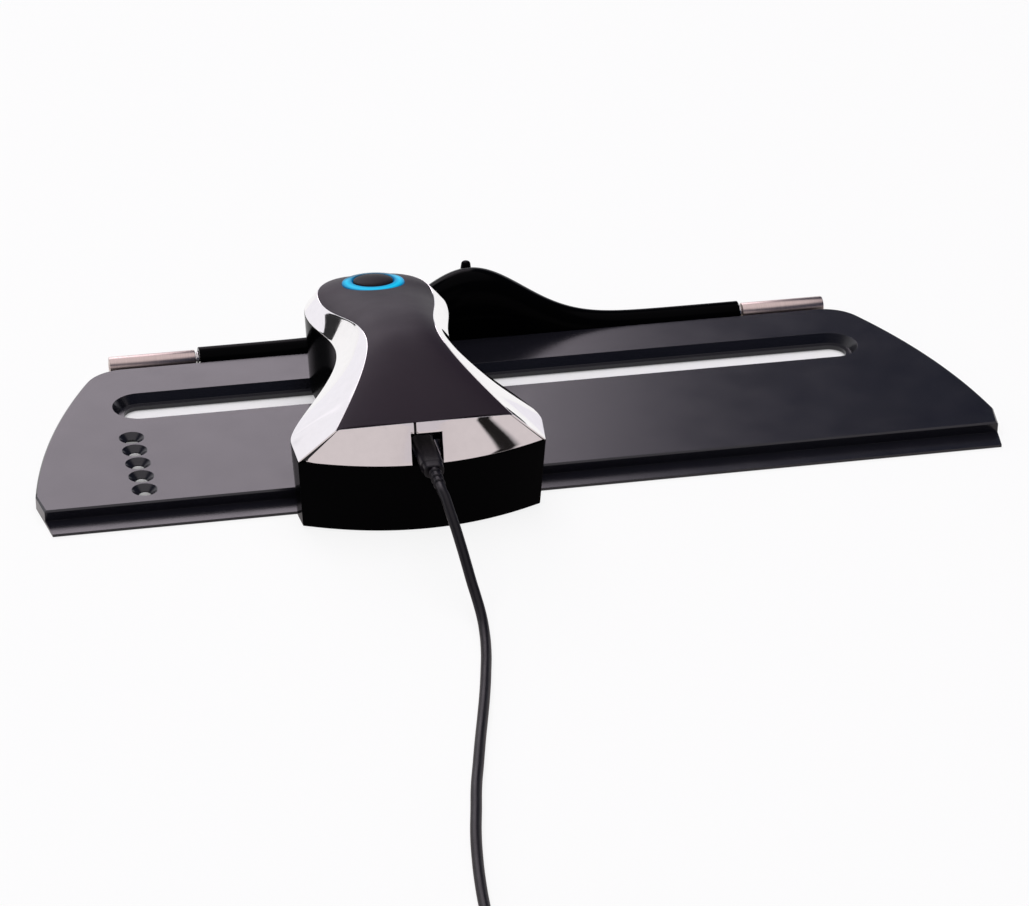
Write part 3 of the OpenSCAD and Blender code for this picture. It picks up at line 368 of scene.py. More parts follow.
def rounded_section(width: float, tall: float, radius: float, steps: int = 6) -> list[Pair]:
    """List the points round a rectangle with round corners, centred on zero.

    Args:
        width: Width of the rectangle.
        tall: Its height.
        radius: Radius of its corners.
        steps: Steps round each corner.

    Returns:
        Points in order round the rectangle.
    """
    points = []
    for quarter in range(4):
        cx = (width / 2 - radius) * (1 if quarter in (0, 3) else -1)
        cy = (tall / 2 - radius) * (1 if quarter in (0, 1) else -1)
        for s in range(steps + 1):
            a = math.radians(90 * quarter + 90 * s / steps)
            points.append((cx + radius * math.cos(a), cy + radius * math.sin(a)))
    return points


def lofted(name: str, stations: Sequence[tuple[float, float, float, float]], place: Matrix) -> Piece:
    """Loft rounded rectangles along local Z.

    Args:
        name: Name of the piece.
        stations: Height, width, depth and corner radius of each section, in millimetres.
        place: Where the loft stands.

    Returns:
        The closed piece.
    """
    return capped(name, [[place @ Vector((x, y, z)) for x, y in rounded_section(w, d, r)] for z, w, d, r in stations])


# Finishes


class Nodes:
    """A node tree and the small sums done in it."""

    def __init__(self, tree: bpy.types.NodeTree) -> None:
        """Start the tree empty."""
        self.tree = tree
        tree.nodes.clear()

    def add(self, kind: str, **settings: object) -> bpy.types.Node:
        """Add a node and set its properties.

        Args:
            kind: Type of the node.
            settings: Properties of the node.

        Returns:
            The new node.
        """
        node = self.tree.nodes.new(kind)
        for key, value in settings.items():
            setattr(node, key, value)
        return node

    def link(self, source: Socket, target: Socket) -> None:
        """Join two sockets."""
        self.tree.links.new(source, target)

    def wire(self, kind: str, inputs: dict[str | int, object], **settings: object) -> bpy.types.Node:
        """Add a node whose inputs are linked or set.

        Args:
            kind: Type of the node.
            inputs: A socket to link or a value to set for each input, by name or number.
            settings: Properties of the node.

        Returns:
            The new node.
        """
        node = self.add(kind, **settings)
        for key, value in inputs.items():
            if isinstance(value, Socket):
                self.link(value, node.inputs[key])
            else:
                node.inputs[key].default_value = value
        return node

    def math(self, operation: str, a: Socket, b: Socket | float) -> Socket:
        """Work out two values."""
        return self.wire("ShaderNodeMath", {0: a, 1: b}, operation=operation).outputs["Value"]

    def times(self, a: Socket, b: Socket | float) -> Socket:
        """Multiply two values."""
        return self.math("MULTIPLY", a, b)

    def most(self, a: Socket, b: Socket) -> Socket:
        """Give the larger of two values."""
        return self.math("MAXIMUM", a, b)

    def split(self, vector: Socket) -> list[Socket]:
        """Give the three parts of a vector."""
        return list(self.wire("ShaderNodeSeparateXYZ", {"Vector": vector}).outputs)

    def upright(self, z: Socket) -> Socket:
        """Give a vector straight up of this height."""
        return self.wire("ShaderNodeCombineXYZ", {"Z": z}).outputs["Vector"]

    def span(self, value: Socket, low: float, high: float, start: float = 0.3, end: float = 0.7,
             smooth: bool = False) -> Socket:
        """Map a value from start and end to low and high.

        Args:
            value: The value to map.
            low: Result at start.
            high: Result at end.
            start: Value that gives low.
            end: Value that gives high.
            smooth: Whether the way between them is eased at both ends.

        Returns:
            The mapped value.
        """
        inputs = {"Value": value, "From Min": start, "From Max": end, "To Min": low, "To Max": high}
        kind = "SMOOTHSTEP" if smooth else "LINEAR"
        return self.wire("ShaderNodeMapRange", inputs, interpolation_type=kind).outputs["Result"]

    def band(self, value: Socket, start: float, end: float, soft: float) -> Socket:
        """Give 1 between start and end, with soft edges outside them."""
        return self.times(self.span(value, 0.0, 1.0, start - soft, start, True),
                          self.span(value, 1.0, 0.0, end, end + soft, True))

    def ramp(self, value: Socket, *stops: tuple[float, Colour]) -> Socket:
        """Turn a value into a colour.

        Args:
            value: The value, from 0 to 1.
            stops: Places on the ramp with their colours.

        Returns:
            The colour.
        """
        node = self.wire("ShaderNodeValToRGB", {"Fac": value})
        while len(node.color_ramp.elements) < len(stops):
            node.color_ramp.elements.new(0.5)
        for element, (at, colour) in zip(node.color_ramp.elements, stops):
            element.position = at
            element.color = (*colour, 1.0)
        return node.outputs["Color"]


class Graph(Nodes):
    """A material's node tree with one Principled shader."""

    def __init__(self, name: str) -> None:
        """Start an empty material of this name.

        Args:
            name: Name of the material.
        """
        self.material = bpy.data.materials.new(name)
        self.material.use_nodes = True
        super().__init__(self.material.node_tree)
        self.shader = self.add("ShaderNodeBsdfPrincipled")
        self.surface = self.add("ShaderNodeOutputMaterial").inputs["Surface"]
        self.link(self.shader.outputs["BSDF"], self.surface)
        self.where = self.add("ShaderNodeTexCoord").outputs["Object"]

    def fix(self, **values: object) -> None:
        """Set constant values on the shader's own sockets, underscores standing for spaces.

        Args:
            values: A value for each socket.
        """
        for key, value in values.items():
            socket = self.shader.inputs[key.replace("_", " ")]
            socket.default_value = (*value, 1.0) if isinstance(value, tuple) and len(value) == 3 else value

    def mapped(self, stretch: Sequence[float] = (1, 1, 1), shift: Sequence[float] = (0, 0, 0)) -> Socket:
        """Give Object coordinates, shifted and stretched."""
        inputs = {"Vector": self.where, "Location": shift, "Scale": stretch}
        return self.wire("ShaderNodeMapping", inputs).outputs["Vector"]

    def noise(self, scale: float, detail: float = 3.0, stretch: Sequence[float] = (1, 1, 1)) -> Socket:
        """Give noise from 0 to 1 at this many cycles a metre."""
        inputs = {"Vector": self.mapped(stretch), "Scale": scale, "Detail": detail}
        return self.wire("ShaderNodeTexNoise", inputs).outputs["Fac"]

    def paint(self, colour: Socket) -> None:
        """Use a colour as the base colour."""
        self.link(colour, self.shader.inputs["Base Color"])

    def rough(self, value: Socket) -> None:
        """Use a value as the roughness."""
        self.link(value, self.shader.inputs["Roughness"])

    def bump(self, height: Socket, depth: float, base: Socket | None = None) -> None:
        """Raise the surface by a height of this depth in millimetres, from its own or other normals.

        Args:
            height: Height from 0 to 1.
            depth: Depth of a height of 1, in millimetres.
            base: Normals to start from, or None for the surface's own.
        """
        node = self.wire("ShaderNodeBump", {"Height": height, "Distance": depth * MM})
        if base is not None:
            self.link(base, node.inputs["Normal"])
        self.link(node.outputs["Normal"], self.shader.inputs["Normal"])


def tint(colour: Colour, share: float) -> Colour:
    """Make a colour lighter or darker by a share."""
    return tuple(min(1.0, c * (1 + share)) for c in colour)


@dataclass(frozen=True)
class Moulding:
    """A moulded plastic or rubber with a fine grain and faint uneven gloss."""

    name: str
    colour: Colour
    gloss: Pair
    grain: float = 1400.0
    depth: float = 0.01
    uneven: float = 0.12
    specular: float = 0.5
    sheen: float = 0.0

    def make(self) -> bpy.types.Material:
        """Build the material.

        Returns:
            The new material.
        """
        graph = Graph(self.name)
        graph.fix(Specular_IOR_Level=self.specular, Sheen_Weight=self.sheen, Sheen_Roughness=0.4)
        cloud = graph.noise(28.0, 4.0)
        graph.paint(graph.ramp(cloud, (0.3, tint(self.colour, -self.uneven)), (0.7, tint(self.colour, self.uneven))))
        graph.rough(graph.span(graph.noise(75.0, 5.0), *self.gloss))
        graph.bump(graph.noise(self.grain, 2.0), self.depth)
        return graph.material


@dataclass(frozen=True)
class Metal:
    """A metal with brush lines or a fine polish."""

    name: str
    colour: Colour
    gloss: Pair
    brush: tuple[float, float, float] = (1.0, 1.0, 1.0)
    lines: float = 900.0
    depth: float = 0.002
    uneven: float = 0.06
    crown: float = 0.0
    crown_x: float = 6.0
    crown_y: Pair = (-52.0, -34.0)

    def make(self) -> bpy.types.Material:
        """Build the material.

        Returns:
            The new material.
        """
        graph = Graph(self.name)
        graph.fix(Metallic=1.0)
        brush = graph.noise(self.lines, 3.0, self.brush)
        cloud = graph.noise(35.0, 3.0)
        graph.paint(graph.ramp(brush, (0.25, tint(self.colour, -self.uneven)), (0.75, tint(self.colour, self.uneven))))
        graph.rough(graph.span(cloud, *self.gloss))
        graph.bump(brush, self.depth, base=self.crowned(graph) if self.crown else None)
        return graph.material

    def crowned(self, graph: Graph) -> Socket:
        """Give normals that lean up on the right side of the head's neck, as on a crowned band.

        Args:
            graph: The material's graph.

        Returns:
            The leaning normals.
        """
        x, y, _ = graph.split(graph.where)
        share = graph.times(graph.span(x, 0.0, self.crown, HEAD_X * MM, (HEAD_X + self.crown_x) * MM, True),
                            graph.span(y, 0.0, 1.0, *(v * MM for v in self.crown_y), True))
        normal = graph.add("ShaderNodeNewGeometry").outputs["Normal"]
        lean = graph.wire("ShaderNodeVectorMath", {0: normal, 1: graph.upright(share)}, operation="ADD")
        unit = graph.wire("ShaderNodeVectorMath", {0: lean.outputs["Vector"]}, operation="NORMALIZE")
        return unit.outputs["Vector"]


@dataclass(frozen=True)
class LitRing:
    """A clear blue ring lit from below, brightest along the middle of its band."""

    name: str
    centre: Pair
    inner: float
    outer: float
    fade_y: Pair = (2.0, 7.5)
    faded: float = 0.12

    def make(self) -> bpy.types.Material:
        """Build the material.

        Returns:
            The new material.
        """
        graph = Graph(self.name)
        graph.fix(Roughness=0.25, Specular_IOR_Level=0.03)
        flat = graph.mapped((1, 1, 0), (-self.centre[0] * MM, -self.centre[1] * MM, 0))
        length = graph.wire("ShaderNodeVectorMath", {0: flat}, operation="LENGTH")
        band = graph.span(length.outputs["Value"], 0.0, 1.0, self.inner * MM, self.outer * MM)
        graph.paint(graph.ramp(band, (0.0, (0.0, 0.02, 0.05)), (0.5, (0.0, 0.08, 0.16)), (1.0, (0.0, 0.02, 0.05))))
        glow = graph.ramp(band, (0.0, (0.0, 0.1, 0.26)), (0.25, (0.0, 0.36, 0.62)), (0.55, (0.004, 0.5, 0.77)),
                          (0.85, (0.0, 0.3, 0.55)), (1.0, (0.0, 0.08, 0.2)))
        graph.link(glow, graph.shader.inputs["Emission Color"])
        fade = graph.span(graph.split(flat)[1], 1.0, self.faded, *(v * MM for v in self.fade_y), True)
        graph.link(fade, graph.shader.inputs["Emission Strength"])
        graph.bump(graph.noise(500.0), 0.004)
        return graph.material


@dataclass(frozen=True)
class Board:
    """A coated circuit board with traces and pads."""

    name: str
    colour: Colour

    def make(self) -> bpy.types.Material:
        """Build the material.

        Returns:
            The new material.
        """
        graph = Graph(self.name)
        tints = (("Color1", 0.0), ("Color2", 0.1), ("Mortar", 0.7))
        tones = {key: (*tint(self.colour, share), 1.0) for key, share in tints}
        inputs = {"Vector": graph.where, "Scale": 260.0, "Mortar Size": 0.04, **tones}
        traces = graph.wire("ShaderNodeTexBrick", inputs)
        graph.paint(traces.outputs["Color"])
        graph.rough(graph.span(graph.noise(120.0), 0.25, 0.4))
        graph.bump(traces.outputs["Fac"], 0.02)
        return graph.material


@dataclass(frozen=True)
class ClearGlass:
    """Polished glass with a faint tint."""

    name: str
    colour: Colour

    def make(self) -> bpy.types.Material:
        """Build the material.

        Returns:
            The new material.
        """
        graph = Graph(self.name)
        graph.fix(Transmission_Weight=1.0, IOR=1.5)
        graph.paint(graph.ramp(graph.noise(40.0), (0.3, self.colour), (0.7, tint(self.colour, 0.05))))
        graph.rough(graph.span(graph.noise(300.0), 0.02, 0.05))
        return graph.material


class Finish(Enum):
    """Every finish of the device, with the record's slot that it belongs to."""

    PLATE = ("satin_black_plate", Moulding("plate_satin_black", (0.008, 0.008, 0.0115), (0.18, 0.23), 2200.0, 0.006))
    GLOSS = ("gloss_black", Moulding("polished_black", (0.001, 0.001, 0.0012), (0.1, 0.16), 500.0, 0.003,
                                     specular=0.015))
    MATTE = ("matte_black", Moulding("matt_black_moulding", (0.012, 0.012, 0.012), (0.5, 0.65), 1800.0, 0.02))
    SOFT = ("soft_charcoal", Moulding("soft_touch_charcoal", (0.018, 0.0115, 0.018), (0.44, 0.5), 2600.0, 0.01,
                                      specular=0.15))
    CHROME = ("chrome_trim", Metal("satin_chrome", (0.93, 0.91, 0.91), (0.03, 0.06), lines=300.0, depth=0.0004,
                                   uneven=0.02, crown=0.28))
    RING = ("blue_light_ring", LitRing("lit_blue_ring", (HEAD_X, Y_SHIFT + 3.0), 7.4, 11.0))
    BUTTON = ("dark_button", Moulding("button_charcoal", (0.014, 0.0105, 0.014), (0.4, 0.46), 1500.0, 0.006,
                                      specular=0.05))
    ROLLER = ("warm_satin_metal", Metal("roller_warm_satin", (0.6, 0.5, 0.46), (0.28, 0.34), (9.0, 0.2, 0.2),
                                        600.0, 0.004, 0.1))
    STEEL = ("steel", Metal("bright_steel", (0.62, 0.61, 0.6), (0.2, 0.3), (4.0, 1.0, 1.0), 900.0, 0.002))
    BRONZE = ("bush_bronze", Metal("sintered_bronze", (0.5, 0.34, 0.16), (0.35, 0.5), lines=2000.0, depth=0.01))
    RUBBER = ("grip_rubber", Moulding("matt_rubber", (0.02, 0.02, 0.02), (0.7, 0.85), 900.0, 0.04, 0.25))
    GLIDE = ("glide_white", Moulding("white_glide", (0.72, 0.71, 0.66), (0.3, 0.45), 900.0, 0.008))
    BOARD = ("board_green", Board("coated_board", (0.01, 0.1, 0.04)))
    LAMP = ("led_white", Moulding("lamp_white", (0.8, 0.84, 0.85), (0.1, 0.2), 600.0, 0.004))
    GLASS = ("lens_glass", ClearGlass("polished_glass", (0.86, 0.94, 0.95)))
    CORD = ("cord_black", Moulding("cord_jacket", (0.006, 0.005, 0.007), (0.32, 0.42), 2400.0, 0.012, specular=0.22))
    TIE = ("tie_grey", Moulding("tie_loops", (0.045, 0.045, 0.05), (0.8, 0.95), 5200.0, 0.12, 0.4, sheen=0.4))

    @property
    def slot(self) -> str:
        """The record's material slot."""
        return self.value[0]

    def material(self) -> bpy.types.Material:
        """Give the finish's material, made on first use."""
        return bpy.data.materials.get(self.value[1].name) or self.value[1].make()


def dress(piece: Piece, finish: Finish, body: Body, *nodes: str) -> Piece:
    """Give a piece its finish and let it ride on a body in place of CAD nodes.

    Args:
        piece: The finished piece.
        finish: Its finish.
        body: The body that carries it.
        nodes: The CAD nodes that it stands for.

    Returns:
        The same piece.
    """
    piece.data.materials.clear()
    piece.data.materials.append(finish.material())
    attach(piece, body.value)
    finish.slot
    if nodes:
        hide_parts(*nodes)
    LOG.info("%s rides on %s", piece.name, body.value)
    return piece


# Curves of the head


def bez(c: Sequence[Vector], t: float) -> Vector:
    """Give the point at t on a cubic curve."""
    s = 1 - t
    return c[0] * s**3 + c[1] * (3 * t * s * s) + c[2] * (3 * t * t * s) + c[3] * t**3


def flow(a: Vector, b: Vector, ha: float, hb: float, turn: Vector = Vector(), slope: float = 0.0) -> list[Vector]:
    """Give the control points from a to b with both ends running along Y, turn bending the first."""
    run = b.y - a.y
    return [a, a + turn + Vector((0, ha * run, 0)), b - Vector((0, hb * run, -hb * run * math.tan(slope))), b]


def along(curves: Sequence[Sequence[Vector]], v: float) -> Vector:
    """Give the point of a chain of curves at depth v.

    Args:
        curves: Curves that follow one another in depth.
        v: Depth from the slot's centreline.

    Returns:
        The point at that depth.
    """
    curve = next((c for c in curves if v <= c[3].y), curves[-1])
    low, high = 0.0, 1.0
    for _ in range(40):
        mid = (low + high) / 2
        low, high = (mid, high) if bez(curve, mid).y < v else (low, mid)
    point = bez(curve, (low + high) / 2)
    return Vector((point.x, v, point.z))


@dataclass
class HeadForm:
    """The outline curves of the measuring head, with depth measured from the slot's centreline."""

    front: float = 100.0
    front_w: float = 83.0
    front_bow: float = 9.7
    flare_w: float = 84.8
    flare_back: float = 19.7
    neck_w: float = 40.0
    neck_front: float = 36.0
    rear_r: float = 25.0
    rear_v: float = -2.0
    draft: float = 1.5
    wall: float = 2.0
    skirt_low: float = 0.6
    skirt_rear: float = -80.5
    rim: tuple[float, float, float, float, float] = (20.5, 22.7, 32.9, 30.5, 29.4)
    panel: tuple[float, float, float, float] = (32.9, 45.5, 35.9, 33.4)
    crest: tuple[float, float, float] = (34.4, 47.2, 39.0)
    panel_front_w: float = 59.0
    panel_back: float = 6.0
    panel_bow: float = 2.5
    panel_waist_w: float = 24.4
    panel_waist: float = 53.0
    panel_r: float = 20.0
    ring_back: float = 3.0
    ring_tilt: float = 8.0
    ring_hold: float = 0.67
    flare_rise: float = 2.0
    panel_turn: tuple[float, float, float] = (-8.5, 0.0, 5.7)
    crest_rise: float = 6.5
    base: float = 0.8
    flank_n: int = 72
    rear_n: int = 28
    front_n: int = 40
    low_curves: list[list[Vector]] = field(init=False)
    pan_curves: list[list[Vector]] = field(init=False)
    crest_curves: list[list[Vector]] = field(init=False)

    def __post_init__(self) -> None:
        """Work out the curves."""
        rim, pan, crest = ([PLATE_TOP + h for h in hs] for hs in (self.rim, self.panel, self.crest))
        corner = Vector((self.front_w / 2, self.front_bow - self.front, rim[0]))
        flare = Vector((self.flare_w / 2, self.flare_back - self.front, rim[1]))
        neck = Vector((self.neck_w / 2, -self.neck_front, rim[2]))
        side = Vector((self.rear_r, self.rear_v, rim[3]))
        self.low_curves = [[corner.lerp(flare, i / 3) for i in range(4)],
                           flow(flare, neck, 0.2, 0.45, Vector((0, 0, self.flare_rise))), flow(neck, side, 0.35, 0.35)]
        pan_corner = Vector((self.panel_front_w / 2, self.panel_back - self.front, pan[0]))
        waist = Vector((self.panel_waist_w / 2, -self.panel_waist, pan[1]))
        pan_side = Vector((self.panel_r, 0, pan[2]))
        self.pan_curves = [flow(pan_corner, waist, 0.32, 0.32, Vector(self.panel_turn)),
                           flow(waist, pan_side, 0.34, 0.34)]
        first = Vector((0, pan_corner.y - self.panel_bow, crest[0]))
        top = Vector((0, -self.panel_waist, crest[1]))
        ring = Vector((0, self.ring_back, crest[2]))
        last = Vector((0, self.panel_r, pan[3]))
        drop = -self.ring_hold * (self.panel_r - self.ring_back) * math.tan(math.radians(self.ring_tilt))
        self.crest_curves = [flow(first, top, 0.31, 0.32, Vector((0, 0, self.crest_rise))),
                             flow(top, ring, 0.33, 0.33, slope=math.radians(self.ring_tilt)),
                             flow(ring, last, self.ring_hold, 0.0, Vector((0, 0, drop)))]

    def half(self, curves: Sequence[Sequence[Vector]], rear_z: float, inset: float, last: float = 90.0) -> list[Vector]:
        """List the right half of an edge, from its front corner to its middle at the back.

        Args:
            curves: The edge's curves.
            rear_z: Height of the edge at the back.
            inset: How far the edge is drawn in.
            last: Angle in degrees at which the round rear ends.

        Returns:
            Points from front to back.
        """
        side = curves[-1][3]
        first = curves[0][0].y + inset
        points = [along(curves, first + (side.y - first) * i / self.flank_n) - Vector((inset, 0, 0))
                  for i in range(self.flank_n + 1)]
        for i in range(1, self.rear_n + 1):
            a = math.radians(last * i / self.rear_n)
            r = side.x - inset
            points.append(Vector((r * math.cos(a), side.y + r * math.sin(a),
                                  side.z + (rear_z - side.z) * (1 - math.cos(a)))))
        return points

    def low(self, inset: float) -> list[Vector]:
        """List the right half of the trim's lower edge."""
        return self.half(self.low_curves, PLATE_TOP + self.rim[4], inset)

    def pan(self, inset: float, last: float = 90.0) -> list[Vector]:
        """List the right half of the panel's edge."""
        return self.half(self.pan_curves, PLATE_TOP + self.panel[3], inset, last)

    def crest_z(self, v: float) -> float:
        """Give the height of the panel's crest at depth v."""
        return along(self.crest_curves, min(max(v, self.crest_curves[0][0].y), self.panel_r - 1e-3)).z

    def front_edge(self, corner: Vector, bow: float, rise: float, s: float) -> Vector:
        """Give the point of a bowed front edge at s from -1 on the left to 1 on the right."""
        return Vector((s * corner.x, corner.y - bow * (1 - s * s), corner.z + rise * (1 - s * s)))

    def front_row(self, corner: Vector, bow: float, rise: float) -> list[Vector]:
        """List the points of a bowed front edge between its corners, left to right."""
        return [self.front_edge(corner, bow, rise, -1 + 2 * i / self.front_n) for i in range(1, self.front_n)]

    def low_ring(self, inset: float) -> list[Vector]:
        """List the whole lower edge, right front corner round the back to the front again."""
        corner = self.low_curves[0][0] + Vector((-inset, inset, 0))
        return around(self.low(inset)) + self.front_row(corner, self.front_bow, 0.0)

    def pan_ring(self, inset: float) -> list[Vector]:
        """List the whole edge of the panel, in step with the lower edge.

        Args:
            inset: How far the edge is drawn in.

        Returns:
            Points in order round the edge.
        """
        corner = self.pan_curves[0][0] + Vector((-inset, inset, 0))
        rise = self.crest[0] - self.panel[0]
        return around(self.pan(inset)) + self.front_row(corner, self.panel_bow, rise)


def around(half: Sequence[Vector]) -> list[Vector]:
    """Join the right half of an edge to its mirror image on the left."""
    return [p.copy() for p in half] + [Vector((-p.x, p.y, p.z)) for p in reversed(half[:-1])]


def in_head(point: Vector) -> Vector:
    """Move a point of the head to its place on the guide."""
    return point + Vector((HEAD_X, Y_SHIFT, 0))


@dataclass
class MeasuringHead:
    """The measuring head's casing, light ring and button."""

    form: HeadForm = field(default_factory=HeadForm)
    seam: float = 0.2
    trim_wall: float = 0.6
    backing: float = 0.9
    backing_gap: float = 0.1
    backing_rise: float = 0.3
    backing_drop: float = 0.9
    backing_lean: float = 0.3
    panel_t: float = 1.6
    panel_end: float = 87.0
    bow_rows: int = 15
    dome: float = 3.0
    notch_w: float = 10.4
    notch_top: float = PLATE_TOP + 30.7
    mitre: float = 1.0
    mitre_open: float = 1.4
    mitre_reach: float = 0.1
    slit_w: float = 0.8
    slit_x: float = -3.7
    ring_d: float = 22.0
    ring_hole: float = 12.0
    ring_rise: float = 0.5
    button_d: float = 14.0
    button_edge: float = 0.7
    button_gap: float = 0.4
    ring_depth: float = 5.6
    ring_flange: float = 1.6
    ring_flange_t: float = 1.2
    lip: float = 0.5
    lip_steps: Pair = (0.25, 0.07)
    button_rise: float = 0.9
    button_drop: float = 0.3
    button_flange: float = 0.8
    button_flange_t: float = 1.0
    stem_r: float = 2.0
    stem_len: float = 2.2
    dome_n: int = 12
    foot_edge: tuple[Pair, ...] = ((0.5, 0.0), (0.15, 0.12), (0.0, 0.5))
    skirt_step: float = 0.02
    tuck: float = 0.05
    front_n: int = 48
    panel_n: int = 32

    def build(self) -> None:
        """Make every piece of the head."""
        self.shell()
        self.side_trim()
        self.front_trim()
        self.trim_backing()
        self.top_panel()
        self.light_ring()
        self.button()

    def on_ring(self) -> Matrix:
        """Give the place of the tilted ring's axis."""
        centre = in_head(Vector((0, self.form.ring_back, PLATE_TOP + self.form.crest[2])))
        return Matrix.Translation(centre) @ Matrix.Rotation(math.radians(-self.form.ring_tilt), 4, "X")

    def foot(self, ring: Sequence[Vector], lift: float) -> list[Vector]:
        """Set a ring on the head's foot, which reaches the table in front of the plate.

        Args:
            ring: The ring of points, with the two beside the skirt's rear edge drawn to it.
            lift: Height above the foot.

        Returns:
            The ring at its height.
        """
        rear, high = self.form.skirt_rear, PLATE_TOP + self.form.base
        points = [p.copy() for p in ring]
        for p, q in zip(points, points[1:] + points[:1]):
            if (p.y < rear) != (q.y < rear):
                for r in (p, q):
                    r.y = rear + (-self.skirt_step if r.y < rear else self.skirt_step)
        return [Vector((p.x, p.y, (self.form.skirt_low if p.y < rear else high) + lift)) for p in points]

    def shell(self) -> None:
        """Make the black lower wall with its skirt in front of the plate, and the skirt's floor and rear wall."""
        form = self.form
        rim = [p - Vector((0, 0, self.seam)) for p in form.low_ring(0.0)]
        rows = [self.foot(form.low_ring(form.draft + inset), lift) for inset, lift in self.foot_edge]
        first = rows[-1]
        for share in (0.15, 0.3, 0.5, 0.7, 0.85, 1.0):
            drawn = form.low_ring(form.draft * (1 - share))
            rows.append([Vector((p.x, p.y, low.z + (top.z - low.z) * share))
                         for p, low, top in zip(drawn, first, rim)])
        rows.append([Vector((p.x, p.y, top.z)) for p, top in zip(form.low_ring(form.wall), rim)])
        rows.append(self.foot(form.low_ring(form.draft + form.wall), 0.0))
        piece = net("head_wall", [[in_head(p) for p in row] for row in rows], 30.0, ring=True, loop=True)
        round_edges(piece, 0.3, 28.0)
        inside = [in_head(p) for p in self.foot(form.low_ring(form.draft + form.wall / 2), 0.0)
                  if p.y < form.skirt_rear]
        plan = [(p.x, p.y) for p in inside]
        low = form.skirt_low + self.tuck
        floor = prism("skirt_floor", plan, low, form.skirt_low + form.wall)
        across, rear = max(p.x for p in inside), Y_SHIFT + form.skirt_rear
        back = block("skirt_back", (2 * HEAD_X - across, rear - form.wall, low),
                     (across, rear - self.tuck, PLATE_TOP + form.base - self.tuck))
        join(piece, floor, back)
        dress(piece, Finish.GLOSS, Body.HEAD, "head_shell", "front_skirt")

    def across(self, low: Vector, top: Vector) -> list[Vector]:
        """List the points up one section of the trim."""
        return [in_head(low.lerp(top, t)) for t in (0.0, 0.08, 0.2, 0.35, 0.5, 0.65, 0.8, 0.92, 1.0)]

    def side_trim(self) -> None:
        """Make the bright band that runs along both flanks and round the back."""
        edges = zip(around(self.form.low(0.0)), around(self.form.pan(0.0)))
        piece = net("side_band", [self.across(a, b) for a, b in edges])
        thicken(piece, self.trim_wall, len(piece.data.polygons) // 2, UPWARD)
        dress(round_edges(piece, 0.2, 45.0), Finish.CHROME, Body.HEAD, "side_trim")

    def front_trim(self) -> None:
        """Make the bright front piece with the notch for the plug."""
        form = self.form
        low_corner, top_corner = form.low_curves[0][0], form.pan_curves[0][0]
        rise, short = form.crest[0] - form.panel[0], Vector((self.mitre, 0, 0))
        rows: list[list[Vector]] = []
        for i in range(self.front_n + 1):
            s = -1 + 2 * i / self.front_n
            a = form.front_edge(low_corner - short, form.front_bow, 0.0, s)
            a.x += self.mitre_open * max(0.0, (self.mitre_reach - 1 - s) / self.mitre_reach)
            b = form.front_edge(top_corner - short, form.panel_bow, rise, s)
            rows.append(self.across(a, b))
        piece = thicken(net("front_band", rows), self.trim_wall, 0, FORWARD)
        cut_away(piece, self.notch(),
                 self.cutter("slit", self.slit_x, self.slit_w, self.notch_top - 4, self.notch_top + 20))
        dress(round_edges(piece, 0.12, 45.0), Finish.CHROME, Body.HEAD, "front_trim")

    def notch(self) -> Piece:
        """Make the cutter for the plug's notch."""
        return self.cutter("notch", 0.0, self.notch_w, 0.0, self.notch_top)

    def cutter(self, name: str, middle: float, width: float, low: float, high: float) -> Piece:
        """Make a cutter through the front piece.

        Args:
            name: Name of the cutter.
            middle: How far its middle is from the head's middle.
            width: Its width.
            low: Height of its foot.
            high: Height of its top.

        Returns:
            The cutter.
        """
        x = HEAD_X + middle
        return block(name, (x - width / 2, Y_SHIFT - self.form.front - 5, low),
                     (x + width / 2, Y_SHIFT + self.form.pan_curves[0][0].y + 4, high))

    def trim_backing(self) -> None:
        """Make the black backing that shows in the seams between the bright pieces."""
        form, gap = self.form, self.trim_wall + self.backing_gap
        low = [p + Vector((0, 0, self.backing_rise)) for p in form.low_ring(gap)]
        top = [p - Vector((0, 0, self.backing_drop)) for p in form.pan_ring(gap + self.backing_lean)]
        piece = net("trim_backing", [[in_head(p) for p in row] for row in (low, top)], 30.0, ring=True)
        thicken(piece, self.backing, len(low) - form.front_n // 2, FORWARD)
        cut_away(piece, self.notch())
        dress(round_edges(piece, 0.1, 45.0, 2), Finish.MATTE, Body.HEAD)

    def top_panel(self) -> None:
        """Make the soft charcoal panel, crowned across, with a round opening for the light ring."""
        form = self.form
        half = form.pan(self.seam, self.panel_end)
        rows = []
        for k, edge in enumerate(half):
            row = []
            for i in range(self.panel_n + 1):
                u = math.sin(math.radians(90 - 180 * i / self.panel_n))
                bow = form.panel_bow * (1 - u * u) * max(0.0, 1 - k / self.bow_rows)
                crest = form.crest_z(edge.y - bow)
                z = edge.z + (crest - edge.z) * (1 - abs(u) ** self.dome)
                row.append(in_head(Vector((edge.x * u, edge.y - bow, z))))
            rows.append(row)
        piece = net("soft_panel", rows, 60.0)
        thicken(piece, self.panel_t, len(piece.data.polygons) // 2, UPWARD)
        r, reach = (self.ring_d + self.seam) / 2, self.ring_hole
        cut_away(piece, turned("ring_hole", [(0, -reach), (r, -reach), (r, reach), (0, reach)], self.on_ring()))
        dress(round_edges(piece, 0.3, 45.0), Finish.SOFT, Body.HEAD, "top_panel")

